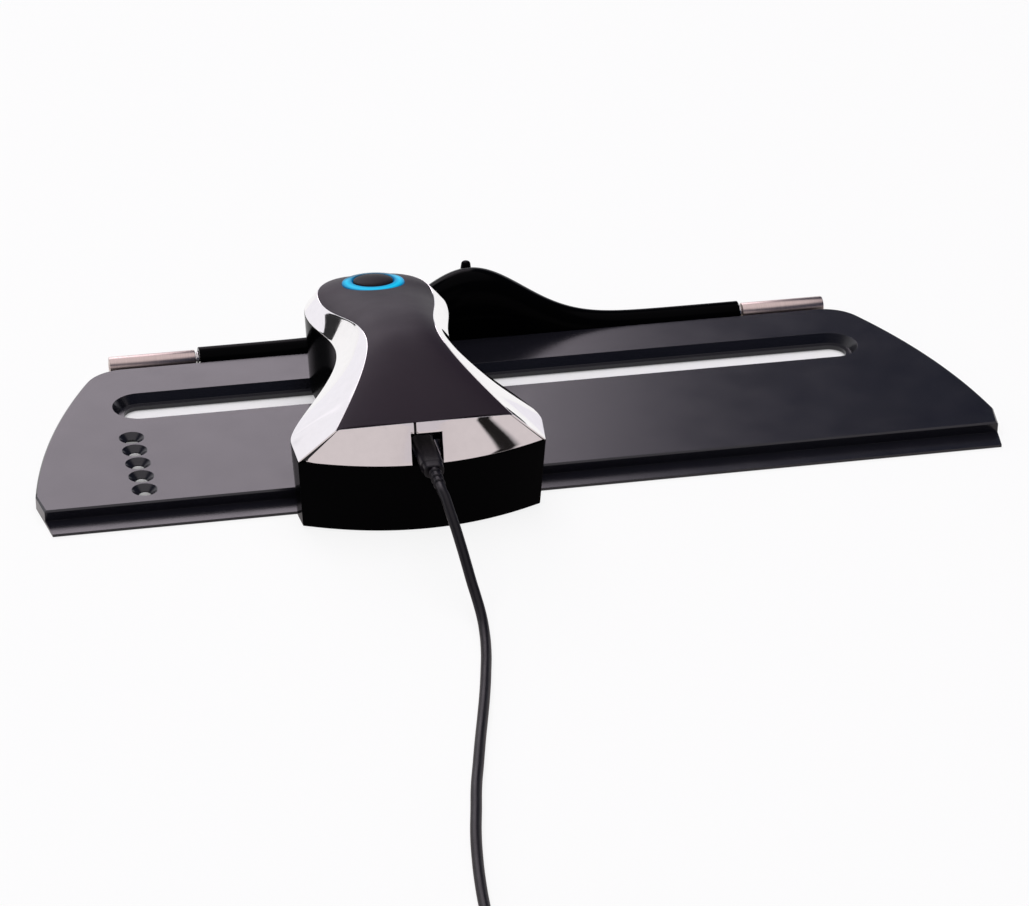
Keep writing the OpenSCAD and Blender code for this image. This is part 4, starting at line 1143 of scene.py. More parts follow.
    def light_ring(self) -> None:
        """Make the lit ring, with a rounded top and a flange under the panel."""
        outer, inner = self.ring_d / 2, self.button_d / 2 + self.button_gap
        low, rise, lip, flange = -self.ring_depth, self.ring_rise, self.lip, outer + self.ring_flange
        seat, (far, near) = low + self.ring_flange_t, self.lip_steps
        profile = [(inner, low), (flange, low), (flange, seat), (outer, seat), (outer, -lip),
                   (outer - near, -far), (outer - far, -near), (outer - lip, 0.0)]
        profile += [(outer - lip + (inner + lip - outer + lip) * t, rise * t) for t in (0.25, 0.5, 0.75, 1.0)]
        profile += [(inner + far, rise - near), (inner + near, rise - far), (inner, rise - lip)]
        piece = turned("blue_ring", profile, self.on_ring(), 128, tube=True)
        dress(piece, Finish.RING, Body.HEAD, "light_ring")

    def button(self) -> None:
        """Make the domed button with its flange and stem."""
        r, rise, edge, lip = self.button_d / 2, self.button_rise, self.button_edge, self.lip
        ball = (r * r + rise * rise) / (2 * rise)
        top = -self.ring_depth - self.button_drop
        under, foot, flange = top - self.button_flange_t, top - self.stem_len, r + self.button_gap + self.button_flange
        profile = [(0.0, foot), (self.stem_r, foot), (self.stem_r, under), (flange, under), (flange, top), (r, top),
                   (r, edge - lip)]
        profile += [(r - lip + lip * math.cos(a), edge - lip + lip * math.sin(a))
                    for a in (math.radians(d) for d in (25, 50, 75))]
        for i in range(1, self.dome_n + 1):
            x = (r - lip) * (1 - i / self.dome_n)
            profile.append((x, edge + math.sqrt(ball * ball - x * x) - ball + rise))
        dress(turned("button_dome", profile, self.on_ring(), 96), Finish.BUTTON, Body.BUTTON, "button_cap")


# Guide plate and rolling bar


@dataclass
class GuidePlate:
    """The slotted plate."""

    half_len: float = 167.2
    front_half: float = 163.6
    front: float = 79.5
    rear: float = 30.0
    wide_back: float = 20.5
    side_r: float = 240.0
    side_lead: float = 30.2
    corner_r: float = 15.0
    lift: float = 0.3
    ledge_top: float = 1.3
    ledge_w: float = 9.4
    bevel: float = 0.6
    slot_len: float = 270.0
    slot_w: float = 19.6
    slot_bevel: float = 2.0
    slot_floor: float = 1.9
    through_w: float = 11.6
    sight_d: float = 8.7
    sight_low_d: float = 4.0
    sight_x: float = 131.0
    sight_front: float = 23.4
    sight_pitch: float = 9.5
    sight_n: int = 5
    relief_w: float = 12.0
    relief_top: float = 2.9
    sight_land: float = 0.3
    strip_half: float = 120.1
    strip_w: float = 5.2
    strip_top: float = 0.9
    strip_front: float = 6.0
    strip_rear: float = 4.8
    tongue_half: float = 6.1
    tongue_v: Pair = (19.8, 31.0)
    tongue_top: float = 1.7
    below: float = -1.0
    side_n: int = 32
    corner_n: int = 14

    def outline(self, inset: float, front_v: float) -> list[Pair]:
        """List the plan outline, right front corner to left front corner round the back.

        Args:
            inset: How far the outline is drawn in.
            front_v: Depth of its front edge.

        Returns:
            Plan points in the part's frame.
        """
        wide_v = self.wide_back - self.front
        arc_v = wide_v - self.side_lead
        arc_x = self.half_len - math.sqrt(self.side_r**2 - self.side_lead**2)
        fillet_v = self.rear - self.corner_r
        fillet_x = arc_x + math.sqrt((self.side_r - self.corner_r) ** 2 - (fillet_v - arc_v) ** 2)
        a0 = math.asin(self.side_lead / self.side_r)
        a1 = math.atan2(fillet_v - arc_v, fillet_x - arc_x)
        share = (front_v + self.front) / self.wide_back
        half = [(self.front_half + (self.half_len - self.front_half) * share - inset, front_v + inset)]
        for i in range(self.side_n + 1):
            a = a0 + (a1 - a0) * i / self.side_n
            half.append((arc_x + (self.side_r - inset) * math.cos(a), arc_v + (self.side_r - inset) * math.sin(a)))
        for i in range(1, self.corner_n + 1):
            a = a1 + (math.pi / 2 - a1) * i / self.corner_n
            half.append((fillet_x + (self.corner_r - inset) * math.cos(a),
                         fillet_v + (self.corner_r - inset) * math.sin(a)))
        plan = half + [(-x, v) for x, v in reversed(half)]
        return [(x, v + Y_SHIFT) for x, v in plan]

    def build(self) -> None:
        """Make the plate: body, slot, sighting holes and the pockets under it."""
        low = self.outline(0.0, -self.front)
        step = self.outline(0.0, self.ledge_w - self.front)
        top = self.outline(self.bevel, self.ledge_w - self.front)
        n = len(low)
        points = [(*p, self.lift) for p in low] + [(*p, PLATE_TOP - self.bevel) for p in step]
        points += [(*p, PLATE_TOP) for p in top]
        points += [(*low[0], self.ledge_top), (*low[-1], self.ledge_top), (*step[0], self.ledge_top),
                   (*step[-1], self.ledge_top)]
        right, left, step_right, step_left = range(3 * n, 3 * n + 4)
        faces: list[Face] = [tuple(range(n - 1, -1, -1)), tuple(range(2 * n, 3 * n))]
        faces += [(i, i + 1, n + i + 1, n + i) for i in range(1, n - 2)]
        faces += [(0, 1, n + 1, n, step_right, right), (n - 2, n - 1, left, step_left, 2 * n - 1, 2 * n - 2)]
        faces += [(n - 1, 0, right, left), (left, right, step_right, step_left),
                  (step_left, step_right, n, 2 * n - 1)]
        faces += [(n + i, n + (i + 1) % n, 2 * n + (i + 1) % n, 2 * n + i) for i in range(n)]
        piece = make_piece("slotted_plate", points, faces, 20.0)
        cut_away(piece, self.slot(), *self.sights(), *self.pockets())
        dress(round_edges(piece, 0.3, 30.0, 3), Finish.PLATE, Body.GUIDE, "guide_plate")

    def slot(self) -> Piece:
        """Make the cutter for the slot and the sloping recess round it.

        Returns:
            The cutter.
        """
        reach = (self.slot_len - self.slot_w) / 2
        slope = self.slot_bevel / (PLATE_TOP - self.slot_floor)
        levels = ((self.through_w, self.below), (self.through_w, self.slot_floor),
                  (self.slot_w - 2 * self.slot_bevel, self.slot_floor), (self.slot_w + 2 * slope, PLATE_TOP + 1))
        turns = [math.radians(-90 + 180 * i / self.side_n) for i in range(self.side_n + 1)]
        ends = [(side, side * math.cos(a), side * math.sin(a)) for side in (1, -1) for a in turns]
        rings = [[(side * reach + width / 2 * x, Y_SHIFT + width / 2 * y, z) for side, x, y in ends]
                 for width, z in levels]
        return capped("slot_cutter", rings)

    def sights(self) -> list[Piece]:
        """Make the cutters for the sighting holes and the relief under their row.

        Returns:
            The cutters.
        """
        throat, land = self.sight_low_d / 2, self.relief_top + self.sight_land
        slope = (self.sight_d / 2 - throat) / (PLATE_TOP - land)
        profile = [(0, self.below), (throat, self.below), (throat, land), (self.sight_d / 2 + slope, PLATE_TOP + 1),
                   (0, PLATE_TOP + 1)]
        run = (self.sight_n - 1) * self.sight_pitch
        width = self.relief_w
        plan = [(x - self.sight_x, y + Y_SHIFT - self.sight_front - run / 2)
                for x, y in rounded_section(width, run + width, width / 2 - 0.2, 12)]
        cutters = [prism("sight_relief", plan, self.below, self.relief_top)]
        for i in range(self.sight_n):
            place = Matrix.Translation((-self.sight_x, Y_SHIFT - self.sight_front - i * self.sight_pitch, 0))
            cutters.append(turned(f"sight_{i}", profile, place, 64))
        return cutters

    def pockets(self) -> list[Piece]:
        """Make the cutters for the strips and tongues under the plate.

        Returns:
            The cutters.
        """
        cutters = []
        near, far = (Y_SHIFT + v for v in self.tongue_v)
        for v in (self.ledge_w - self.front + self.strip_front, self.slot_w / 2 + self.strip_rear):
            cutters.append(block("strip_pocket", (-self.strip_half, Y_SHIFT + v - self.strip_w / 2, self.below),
                                 (self.strip_half, Y_SHIFT + v + self.strip_w / 2, self.strip_top)))
        for x in TONGUE_X:
            cutters.append(block("tongue_pocket", (x - self.tongue_half, near, self.below),
                                 (x + self.tongue_half, far, self.tongue_top)))
        return cutters


@dataclass
class RollingBar:
    """The axle cover with its bell grip, the two rollers and the lock button."""

    cover_half: float = 100.0
    cover_front: float = 30.2
    cover_r: float = 5.4
    cover_top: float = 7.8
    lift: float = 0.3
    wall: float = 1.2
    grip_h: float = 20.9
    grip_depth: float = 13.0
    grip_spread: float = 19.5
    grip_lean: float = 0.5
    fullness: float = 0.8
    axle_v: float = 35.6
    axle_z: float = 3.5
    roller_d: float = 7.0
    axle_d: float = 3.0
    roller_in: float = 101.4
    roller_len: float = 30.9
    roller_edge: float = 0.35
    roller_step: float = 0.1
    bore_edge: float = 0.15
    lock_v: float = 47.2
    lock_d: float = 5.4
    lock_tip_d: float = 3.4
    lock_round: float = 1.0
    lock_edge: float = 0.2
    lock_proud: float = 3.9
    collar_r: float = 3.6
    lock_travel: float = 2.0
    spring_low: float = 5.5
    spring_top: float = 10.6
    spring_r: float = 2.45
    spring_wire: float = 0.7
    spring_turns: int = 4
    hole_z: Pair = (13.0, 40.0)
    hole_gap: float = 0.3
    stem_low: float = 3.9
    stem_r: float = 1.5
    collar_drop: float = 4.0
    collar_t: float = 1.6
    cover_n: int = 120

    def build(self) -> None:
        """Make every piece of the bar."""
        self.cover()
        self.rollers()
        self.lock()
        self.spring()

    def bell(self, x: float) -> float:
        """Give the share of the grip's swelling at x."""
        return math.exp(-x * x / (2 * self.grip_spread**2))

    def section(self, x: float, steps: int = 44) -> list[Vector]:
        """List the points over the cover at x, front to rear.

        Args:
            x: Place along the bar.
            steps: Steps over the cover.

        Returns:
            Points from front to rear.
        """
        g = self.bell(x)
        depth = 2 * self.cover_r + self.grip_depth * g
        tall = self.cover_top + self.grip_h * g - self.lift
        points = []
        for i in range(steps + 1):
            a = math.pi * i / steps
            v = self.cover_front + depth * ((1 - math.cos(a)) / 2) ** (1 + self.grip_lean * g)
            points.append(Vector((x, v + Y_SHIFT, self.lift + tall * max(math.sin(a), 0.0) ** self.fullness)))
        return points

    def on_lock(self) -> Matrix:
        """Give the place of the lock's axis."""
        return Matrix.Translation((0, self.lock_v + Y_SHIFT, 0))

    def surface_z(self, v: float) -> float:
        """Give the height of the grip's surface on its middle line."""
        c = 1 - 2 * ((v - self.cover_front) / (2 * self.cover_r + self.grip_depth)) ** (1 / (1 + self.grip_lean))
        return self.lift + (self.cover_top + self.grip_h - self.lift) * (1 - c * c) ** (self.fullness / 2)

    def cover(self) -> None:
        """Make the cover and grip in one moulding, with the lock's hole."""
        rows = [self.section(self.cover_half * (2 * i / self.cover_n - 1)) for i in range(self.cover_n + 1)]
        crest = (self.cover_n // 2) * (len(rows[0]) - 1) + len(rows[0]) // 2
        piece = thicken(net("cover_and_grip", rows, 60.0), self.wall, crest, UPWARD)
        r, (low, high) = self.lock_d / 2 + self.hole_gap, self.hole_z
        cut_away(piece, turned("lock_hole", [(0, low), (r, low), (r, high), (0, high)], self.on_lock(), 48))
        dress(round_edges(piece, 0.2, 45.0, 2), Finish.GLOSS, Body.GUIDE, "axle_cover")

    def rollers(self) -> None:
        """Make the two metal rollers with chamfered ends."""
        r, bore, length = self.roller_d / 2, self.axle_d / 2, self.roller_len
        edge, step, inner = self.roller_edge, self.roller_step, self.bore_edge
        profile = [(bore, inner), (bore + inner, 0), (r - edge, 0), (r - step, step), (r, edge), (r, length - edge),
                   (r - step, length - step), (r - edge, length), (bore + inner, length), (bore, length - inner)]
        for name, start in (("left_roller", -self.roller_in - length), ("right_roller", self.roller_in)):
            place = Matrix.Translation((start, self.axle_v + Y_SHIFT, self.axle_z)) @ Axis.RIGHT.turn()
            dress(turned(f"{name}_sleeve", profile, place, 96, tube=True), Finish.ROLLER, Body.ROLLER_BAR, name)

    def lock(self) -> None:
        """Make the lock button's post, collar and stem."""
        tip = self.surface_z(self.lock_v) + self.lock_proud
        low, stem, rim, edge = self.stem_low, self.stem_r, self.collar_r, self.lock_edge
        collar = self.surface_z(self.lock_v + rim) - self.collar_drop
        arm = collar - self.collar_t
        profile = [(0, low), (stem - edge, low), (stem, low + edge), (stem, arm), (rim, arm), (rim, collar - edge),
                   (rim - edge, collar), (self.lock_d / 2, collar), (self.lock_d / 2, tip - 2 * self.lock_proud)]
        end, ball = self.lock_tip_d / 2, self.lock_round
        profile += [(end - ball + ball * math.cos(a), tip - ball + ball * math.sin(a))
                    for a in (math.radians(15 * i) for i in range(7))]
        profile.append((0, tip))
        dress(turned("lock_post", profile, self.on_lock(), 64), Finish.GLOSS, Body.LOCK, "lock_button")

    def spring(self, a_turn: int = 32, sides: int = 12) -> None:
        """Wind the lock's spring.

        Args:
            a_turn: Steps in each turn of the wire.
            sides: Sides of the wire.
        """
        steps, half = a_turn * self.spring_turns, self.spring_wire / 2
        rise = self.spring_top - self.spring_low - self.spring_wire
        rings: list[list[Vector]] = []
        for i in range(steps + 1):
            turn = math.tau * i / a_turn
            out = Vector((math.cos(turn), math.sin(turn), 0))
            mid = out * self.spring_r + Vector((0, self.lock_v + Y_SHIFT, self.spring_low + half + rise * i / steps))
            around_wire = (math.tau * j / sides for j in range(sides))
            rings.append([mid + (out * math.cos(b) + Vector((0, 0, math.sin(b)))) * half for b in around_wire])
        piece = capped("lock_coil", rings)
        dress(piece, Finish.STEEL, Body.GUIDE, "lock_spring")
        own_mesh(piece)


# Pieces laid out by node trees


class NodeTree(Nodes):
    """A Geometry Nodes tree with named inputs, turned to a plain mesh at its end."""

    def __init__(self, name: str) -> None:
        """Start a tree with a geometry input and output.

        Args:
            name: Name of the tree.
        """
        super().__init__(bpy.data.node_groups.new(name, "GeometryNodeTree"))
        for way in ("INPUT", "OUTPUT"):
            self.tree.interface.new_socket("Geometry", in_out=way, socket_type="NodeSocketGeometry")
        self.entry = self.add("NodeGroupInput")
        self.values: dict[str, float | int] = {}

    def size(self, name: str, value: float | int) -> Socket:
        """Add a named size or count and give its socket.

        Args:
            name: Name of the input.
            value: Its value, whole for a count.

        Returns:
            The input's socket.
        """
        kind = "NodeSocketInt" if isinstance(value, int) else "NodeSocketFloat"
        socket = self.tree.interface.new_socket(name, in_out="INPUT", socket_type=kind)
        self.values[socket.identifier] = value
        return self.entry.outputs[name]

    def drum(self, radius: Socket, depth: Socket, sides: int, middle: Socket) -> Socket:
        """Give an upright cylinder with its middle at a height.

        Args:
            radius: Radius of the cylinder.
            depth: Its height.
            sides: Number of sides.
            middle: Height of its middle.

        Returns:
            The cylinder's geometry.
        """
        drum = self.wire("GeometryNodeMeshCylinder", {"Vertices": sides, "Radius": radius, "Depth": depth},
                         fill_type="NGON")
        move = self.wire("GeometryNodeTransform", {
            "Geometry": drum.outputs["Mesh"], "Translation": self.upright(middle)})
        return move.outputs["Geometry"]

    def finish(self, name: str, parts: Sequence[Socket], place: Matrix, finish: Finish,
               points: Sequence[Sequence[float]] = ()) -> Piece:
        """Close the tree, run it and keep its mesh.

        Args:
            name: Name of the piece.
            parts: The shapes to join.
            place: Where the result stands, in millimetres.
            finish: Its finish.
            points: Places that the tree's geometry input holds, in millimetres.

        Returns:
            The piece as a plain mesh.
        """
        whole = self.add("GeometryNodeJoinGeometry")
        for part in reversed(parts):
            self.link(part, whole.inputs["Geometry"])
        real = self.wire("GeometryNodeRealizeInstances", {"Geometry": whole.outputs["Geometry"]})
        coat = self.wire("GeometryNodeSetMaterial", {
            "Geometry": real.outputs["Geometry"], "Material": finish.material()})
        self.wire("NodeGroupOutput", {"Geometry": coat.outputs["Geometry"]})
        piece = mesh_object(name, points)
        run = piece.modifiers.new("layout", "NODES")
        run.node_group = self.tree
        for identifier, value in self.values.items():
            run[identifier] = value
        settle(piece)
        move = place.copy()
        move.translation = place.translation * MM
        piece.data.transform(move)
        shade(piece, CREASE)
        return piece


@dataclass
class RibbedSleeve:
    """A tapered sleeve whose ribs are laid along it by a node tree."""

    start_r: float
    end_r: float
    length: float
    ribs: int
    groove: float = 0.45
    rib_share: float = 0.315
    sides: int = 48

    def make(self, name: str, place: Matrix) -> Piece:
        """Make the sleeve.

        Args:
            name: Name of the piece.
            place: Where it stands: it tapers along local Z.

        Returns:
            The sleeve as a plain mesh.
        """
        tree = NodeTree(f"{name}_ribs")
        start, end = tree.size("Start radius", self.start_r * MM), tree.size("End radius", self.end_r * MM)
        length = tree.size("Length", self.length * MM)
        rib = tree.size("Rib radius", self.rib_share * self.length / self.ribs * MM)
        count = tree.size("Ribs", self.ribs)
        core = tree.wire("GeometryNodeMeshCone", {
            "Vertices": self.sides, "Radius Top": (self.end_r - self.groove) * MM,
            "Radius Bottom": (self.start_r - self.groove) * MM, "Depth": length}, fill_type="NGON")
        step = tree.math("DIVIDE", length, count)
        line = tree.wire("GeometryNodeMeshLine", {
            "Count": count, "Offset": tree.upright(step), "Start Location": tree.upright(tree.times(step, 0.5))})
        circle = tree.wire("GeometryNodeCurvePrimitiveCircle", {"Resolution": self.sides, "Radius": 1.0})
        index = tree.add("GeometryNodeInputIndex").outputs["Index"]
        share = tree.math("DIVIDE", tree.math("ADD", index, 0.5), count)
        radius = tree.math("ADD", start, tree.times(share, tree.math("SUBTRACT", end, start)))
        rings = tree.wire("GeometryNodeInstanceOnPoints", {
            "Points": line.outputs["Mesh"], "Instance": circle.outputs["Curve"],
            "Scale": tree.math("SUBTRACT", radius, rib)})
        loops = tree.wire("GeometryNodeRealizeInstances", {"Geometry": rings.outputs["Instances"]})
        profile = tree.wire("GeometryNodeCurvePrimitiveCircle", {"Resolution": self.sides // 4, "Radius": rib})
        ribs = tree.wire("GeometryNodeCurveToMesh", {
            "Curve": loops.outputs["Geometry"], "Profile Curve": profile.outputs["Curve"]})
        return tree.finish(name, [core.outputs["Mesh"], ribs.outputs["Mesh"]], place, Finish.CORD)


@dataclass
class ScrewSet:
    """Screws with hexagon recesses, laid on their places by a node tree."""

    name: str
    places: Sequence[Pair]
    head_z: float
    tip_z: float
    head_t: float
    body: Body
    node: str
    head_d: float = 4.2
    shank_d: float = 2.2
    recess_share: float = 0.42
    recess_out: float = 0.05

    def build(self) -> None:
        """Make the screws in one mesh and dress them."""
        tree = NodeTree(f"{self.name}_layout")
        up = 1.0 if self.tip_z > self.head_z else -1.0
        head_r = tree.size("Head radius", self.head_d / 2 * MM)
        shank_r = tree.size("Shank radius", self.shank_d / 2 * MM)
        head_t = tree.size("Head height", self.head_t * MM)
        shank = tree.size("Shank length", (abs(self.tip_z - self.head_z) - self.head_t) * MM)
        head = tree.drum(head_r, head_t, 48, tree.times(head_t, 0.5 * up))
        recess = tree.drum(tree.times(head_r, self.recess_share), head_t, 6,
                           tree.times(head_t, -self.recess_out * up))
        cut = tree.wire("GeometryNodeMeshBoolean", {"Mesh 1": head, "Mesh 2": recess}, operation="DIFFERENCE")
        rod_at = tree.times(tree.math("ADD", head_t, tree.times(shank, 0.5)), up)
        screw = tree.wire("GeometryNodeJoinGeometry", {"Geometry": tree.drum(shank_r, shank, 32, rod_at)})
        tree.link(cut.outputs["Mesh"], screw.inputs["Geometry"])
        lay = tree.wire("GeometryNodeInstanceOnPoints", {
            "Points": tree.entry.outputs["Geometry"], "Instance": screw.outputs["Geometry"]})
        points = [(x, y, self.head_z) for x, y in self.places]
        piece = tree.finish(self.name, [lay.outputs["Instances"]], Matrix.Identity(4), Finish.STEEL, points)
        dress(piece, Finish.STEEL, self.body, self.node)


def screw_sets() -> list[ScrewSet]:
    """List the screws under the guide, under the head and on its board.

    Returns:
        The three sets.
    """
    under_plate = [(x, Y_SHIFT + 25.0) for x in TONGUE_X]
    form = HeadForm()
    bosses = []
    for v in (form.flare_back - form.front + 4, form.rear_v - 10):
        x = along(form.low_curves, v).x - form.draft - form.wall - 2.7
        bosses += [(HEAD_X - x, Y_SHIFT + v), (HEAD_X + x, Y_SHIFT + v)]
    board = [(HEAD_X + x, Y_SHIFT + v) for x, v in ((-20, -77.5), (20, -77.5), (-9, -24), (9, -24))]
    return [ScrewSet("plate_screws", under_plate, head_z=0.3, tip_z=4.2, head_t=0.8, body=Body.GUIDE,
                     node="carrier_screws"),
            ScrewSet("case_screws", bosses, head_z=5.9, tip_z=17.9, head_t=1.0, body=Body.HEAD, node="base_screws"),
            ScrewSet("circuit_screws", board, head_z=27.6, tip_z=18.8, head_t=1.2, body=Body.HEAD,
                     node="board_screws")]


# Lead


@dataclass
class Lead:
    """The lead: plug, strain relief, the cord with its tied coil, and the plug at its far end."""

    diameter: float = 3.4
    plug_z: float = 28.4
    relief_v: float = -110.7
    relief_len: float = 10.0
    plug_w: float = 7.4
    plug_tall: float = 5.2
    plug_len: float = 22.0
    lie: float = 1.75
    coil_mid: Pair = (-32.5, -346.0)
    coil_r: float = 35.5
    coil_pitch: float = 4.5
    coil_turns: float = 10.25
    coil_low: float = 2.65
    coil_n: int = 24
    tie_w: float = 10.0
    tie_t: float = 0.8
    tie_room: float = 0.3
    tie_r: float = 2.4
    flap_in: float = 12.0
    flap_len: float = 15.0
    flap_trim: float = 0.8
    flap_r: float = 3.5
    flap_z: Pair = (0.5, 0.7)
    usb_z: float = 4.2
    far_sleeve: float = 9.0
    tail_x: float = -4.0

    def route(self) -> list[Vector]:
        """List the points of the cord's middle line, from the strain relief to the far plug.

        Returns:
            Points in millimetres.
        """
        start = Vector((HEAD_X, self.relief_v - self.relief_len + Y_SHIFT, self.plug_z))
        d, z = self.diameter, self.lie
        entry = Vector((self.coil_mid[0] - self.coil_r, self.coil_mid[1] + d, self.coil_low))
        leave = Vector((self.coil_mid[0] + d, self.coil_mid[1] - self.coil_r, self.coil_low + self.coil_pitch))
        end = Vector((self.tail_x, leave.y, self.usb_z))
        points = [start, start - Vector((0, d, 0))]
        points += [Vector(p) for p in (
            (-41.4, -104, 27.7), (-40.9, -109, 25.4), (-40.1, -114, 22.2), (-39.3, -119, 18.4), (-38.5, -124, 14.2),
            (-37.8, -129, 10.2), (-37.1, -134, 6.8), (-36.8, -140, 4), (-37.3, -147, 2.4), (-38.8, -157, z),
            (-41.3, -169, z), (-44.3, -182, z), (-47.6, -195, z), (-51, -208, z), (-54, -220, z), (-57, -232, z),
            (-59.5, -244, z), (-62, -256, z), (-64, -268, z), (-65.6, -280, z), (-66.8, -292, z), (-67.6, -304, z),
            (-68, -316, 2.2), (-68, -328, 2.6))]
        points += [entry + Vector((0, d, 0)), entry]
        points += [self.coil_point(i / self.coil_n) for i in range(int(self.coil_turns * self.coil_n) + 1)]
        points += [leave, leave + Vector((d, 0, 0)), Vector((-19, end.y, 6.4)), Vector((-13, end.y, 5)),
                   end - Vector((d, 0, 0)), end]
        return points

    def coil_point(self, turn: float) -> Vector:
        """Give the coil's point after so many turns: in on the lower layer, out on the upper one.

        Args:
            turn: Turns from the coil's start.

        Returns:
            The point in millimetres.
        """
        half = self.coil_turns / 2
        r = self.coil_r - self.coil_pitch * (half - abs(turn - half))
        climb = min(max((turn - half) * 2 + 0.5, 0.0), 1.0)
        a = math.pi + math.tau * turn
        return Vector((self.coil_mid[0] + r * math.cos(a), self.coil_mid[1] + r * math.sin(a),
                       self.coil_low + self.coil_pitch * climb))

    def build(self) -> None:
        curve = bpy.data.curves.new("lead_cord", "CURVE")
        curve.dimensions = "3D"
        curve.bevel_depth = self.diameter / 2 * MM
        curve.bevel_resolution = 5
        curve.resolution_u = 5
        curve.use_fill_caps = True
        points = self.route()
        spline = curve.splines.new("BEZIER")
        spline.bezier_points.add(len(points) - 1)
        for knot, point in zip(spline.bezier_points, points):
            knot.co = point * MM
            knot.handle_left_type = knot.handle_right_type = "AUTO"
        cord = put("lead_cord", curve)
        dress(cord, Finish.CORD, Body.HEAD, "cord_lead", "cord_coil", "cord_tail")
        riders = [self.plug(), self.relief(), *self.far_plug(), self.strap(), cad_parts["plug_tip"]]

    def strap(self) -> Piece:
        """Make the hook-and-loop strap round the coil, with its loose end laid over the top.

        Returns:
            The dressed strap.
        """
        room = self.diameter / 2 + self.tie_room
        first = self.coil_r - self.coil_pitch * self.coil_turns / 2 - room
        last = self.coil_r + room
        top = self.coil_low + self.coil_pitch + room
        wide, tall = last - first, top - self.tie_t
        loop = [rounded_section(wide + 2 * t, tall + 2 * t, self.tie_r + t, 8) for t in (0.0, self.tie_t)]
        half = self.tie_w / 2
        place = Matrix.Translation((self.coil_mid[0] + (first + last) / 2, self.coil_mid[1], self.tie_t + tall / 2))
        corners = ((0, -half), (1, -half), (1, half), (0, half))
        rows = [[place @ Vector((x, side, z)) for x, z in loop[k]] for k, side in corners]
        band = net("coil_strap", rows, 50.0, ring=True, loop=True)
        end = [(x + self.coil_mid[0] + first + self.flap_in, y + self.coil_mid[1])
               for x, y in rounded_section(self.flap_len, self.tie_w - self.flap_trim, self.flap_r)]
        flap = prism("strap_end", end, top + self.flap_z[0], top + self.tie_t + self.flap_z[1])
        join(round_edges(band, 0.15, 50.0, 2), round_edges(flap, 0.2, 40.0, 2))
        return dress(band, Finish.TIE, Body.HEAD, "cord_tie")

    def plug(self) -> Piece:
        """Make the plug's moulding that stands out of the head's notch.

        Returns:
            The dressed moulding.
        """
        w, d = self.plug_w, self.plug_tall
        place = Matrix.Translation((HEAD_X, self.relief_v + Y_SHIFT, self.plug_z)) @ Matrix.Rotation(
            math.radians(-90), 4, "X")
        stations = [(0, w - 1.8, d - 1.8, 1.2), (0.25, w - 1.1, d - 1.1, 1.5), (0.7, w - 0.7, d - 0.7, 1.7),
                    (3.2, w - 0.6, d - 0.6, 1.8), (3.5, w - 0.15, d - 0.15, 1.8), (4, w, d, 1.8),
                    (self.plug_len - 0.6, w, d, 1.8), (self.plug_len, w - 1, d - 1, 1.4)]
        piece = lofted("plug_moulding", stations, place)
        return dress(round_edges(piece, 0.25, 40.0, 2), Finish.CORD, Body.HEAD, "plug_body")

    def relief(self) -> Piece:
        """Make the ribbed sleeve behind the plug.

        Returns:
            The dressed sleeve.
        """
        place = Matrix.Translation((HEAD_X, self.relief_v + Y_SHIFT, self.plug_z)) @ Axis.FRONT.turn()
        sleeve = RibbedSleeve(start_r=2.3, end_r=2.0, length=self.relief_len, ribs=3)
        piece = sleeve.make("ribbed_sleeve", place)
        return dress(piece, Finish.CORD, Body.HEAD, "strain_relief")

    def far_plug(self) -> list[Piece]:
        """Make the far plug's moulding with its sleeve, and hand back its metal shell with them.

        Returns:
            The moulding, the sleeve and the shell.
        """
        at = Matrix.Translation((self.tail_x, self.coil_mid[1] - self.coil_r, self.usb_z)) @ Axis.RIGHT.turn()
        stations = [(self.far_sleeve, 5, 9, 2.2), (9.6, 6.6, 13, 2.6), (12, 7.8, 15.6, 2.4), (14, 8, 16, 2),
                    (35.4, 8, 16, 2), (36, 7.2, 15.2, 1.6)]
        body = round_edges(lofted("far_plug_moulding", stations, at), 0.25, 40.0, 2)
        turn = at @ Matrix.Translation((0, 0, self.far_sleeve)) @ Matrix.Rotation(math.pi, 4, "X")
        ribbed = RibbedSleeve(start_r=3.3, end_r=2.2, length=self.far_sleeve, ribs=3)
        sleeve = ribbed.make("far_plug_sleeve", turn)
        dress(sleeve, Finish.CORD, Body.HEAD)
        dress(body, Finish.CORD, Body.HEAD, "usb_plug")
        return [body, sleeve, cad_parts["usb_shell"]]


# CAD nodes that keep their shape


KEPT_NODES: dict[str, Finish] = {
    "grip_strips": Finish.RUBBER, "axle_carrier": Finish.PLATE, "axle_bushes": Finish.BRONZE,
    "axle": Finish.STEEL, "axle_clips": Finish.STEEL, "brake_arm": Finish.PLATE,
    "brake_pad": Finish.RUBBER, "base_cover": Finish.PLATE, "glide_pads": Finish.GLIDE,
    "aperture_nose": Finish.MATTE, "lamp_ring": Finish.BOARD, "optics_barrel": Finish.MATTE, "lens": Finish.GLASS,
    "main_board": Finish.BOARD, "sensor_chip": Finish.MATTE, "usb_socket": Finish.STEEL, "port_liner": Finish.CHROME,
    "ring_board": Finish.BOARD, "ring_leds": Finish.LAMP, "touch_switch": Finish.MATTE, "plug_tip": Finish.STEEL,
    "usb_shell": Finish.STEEL,
}


def dress_kept() -> None:
    """Give each CAD node that keeps its shape its finish."""
    for name, finish in KEPT_NODES.items():
        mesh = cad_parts[name].data
        mesh.materials.clear()
        mesh.materials.append(finish.material())
        LOG.info("%s keeps its shape", name)


# Studio


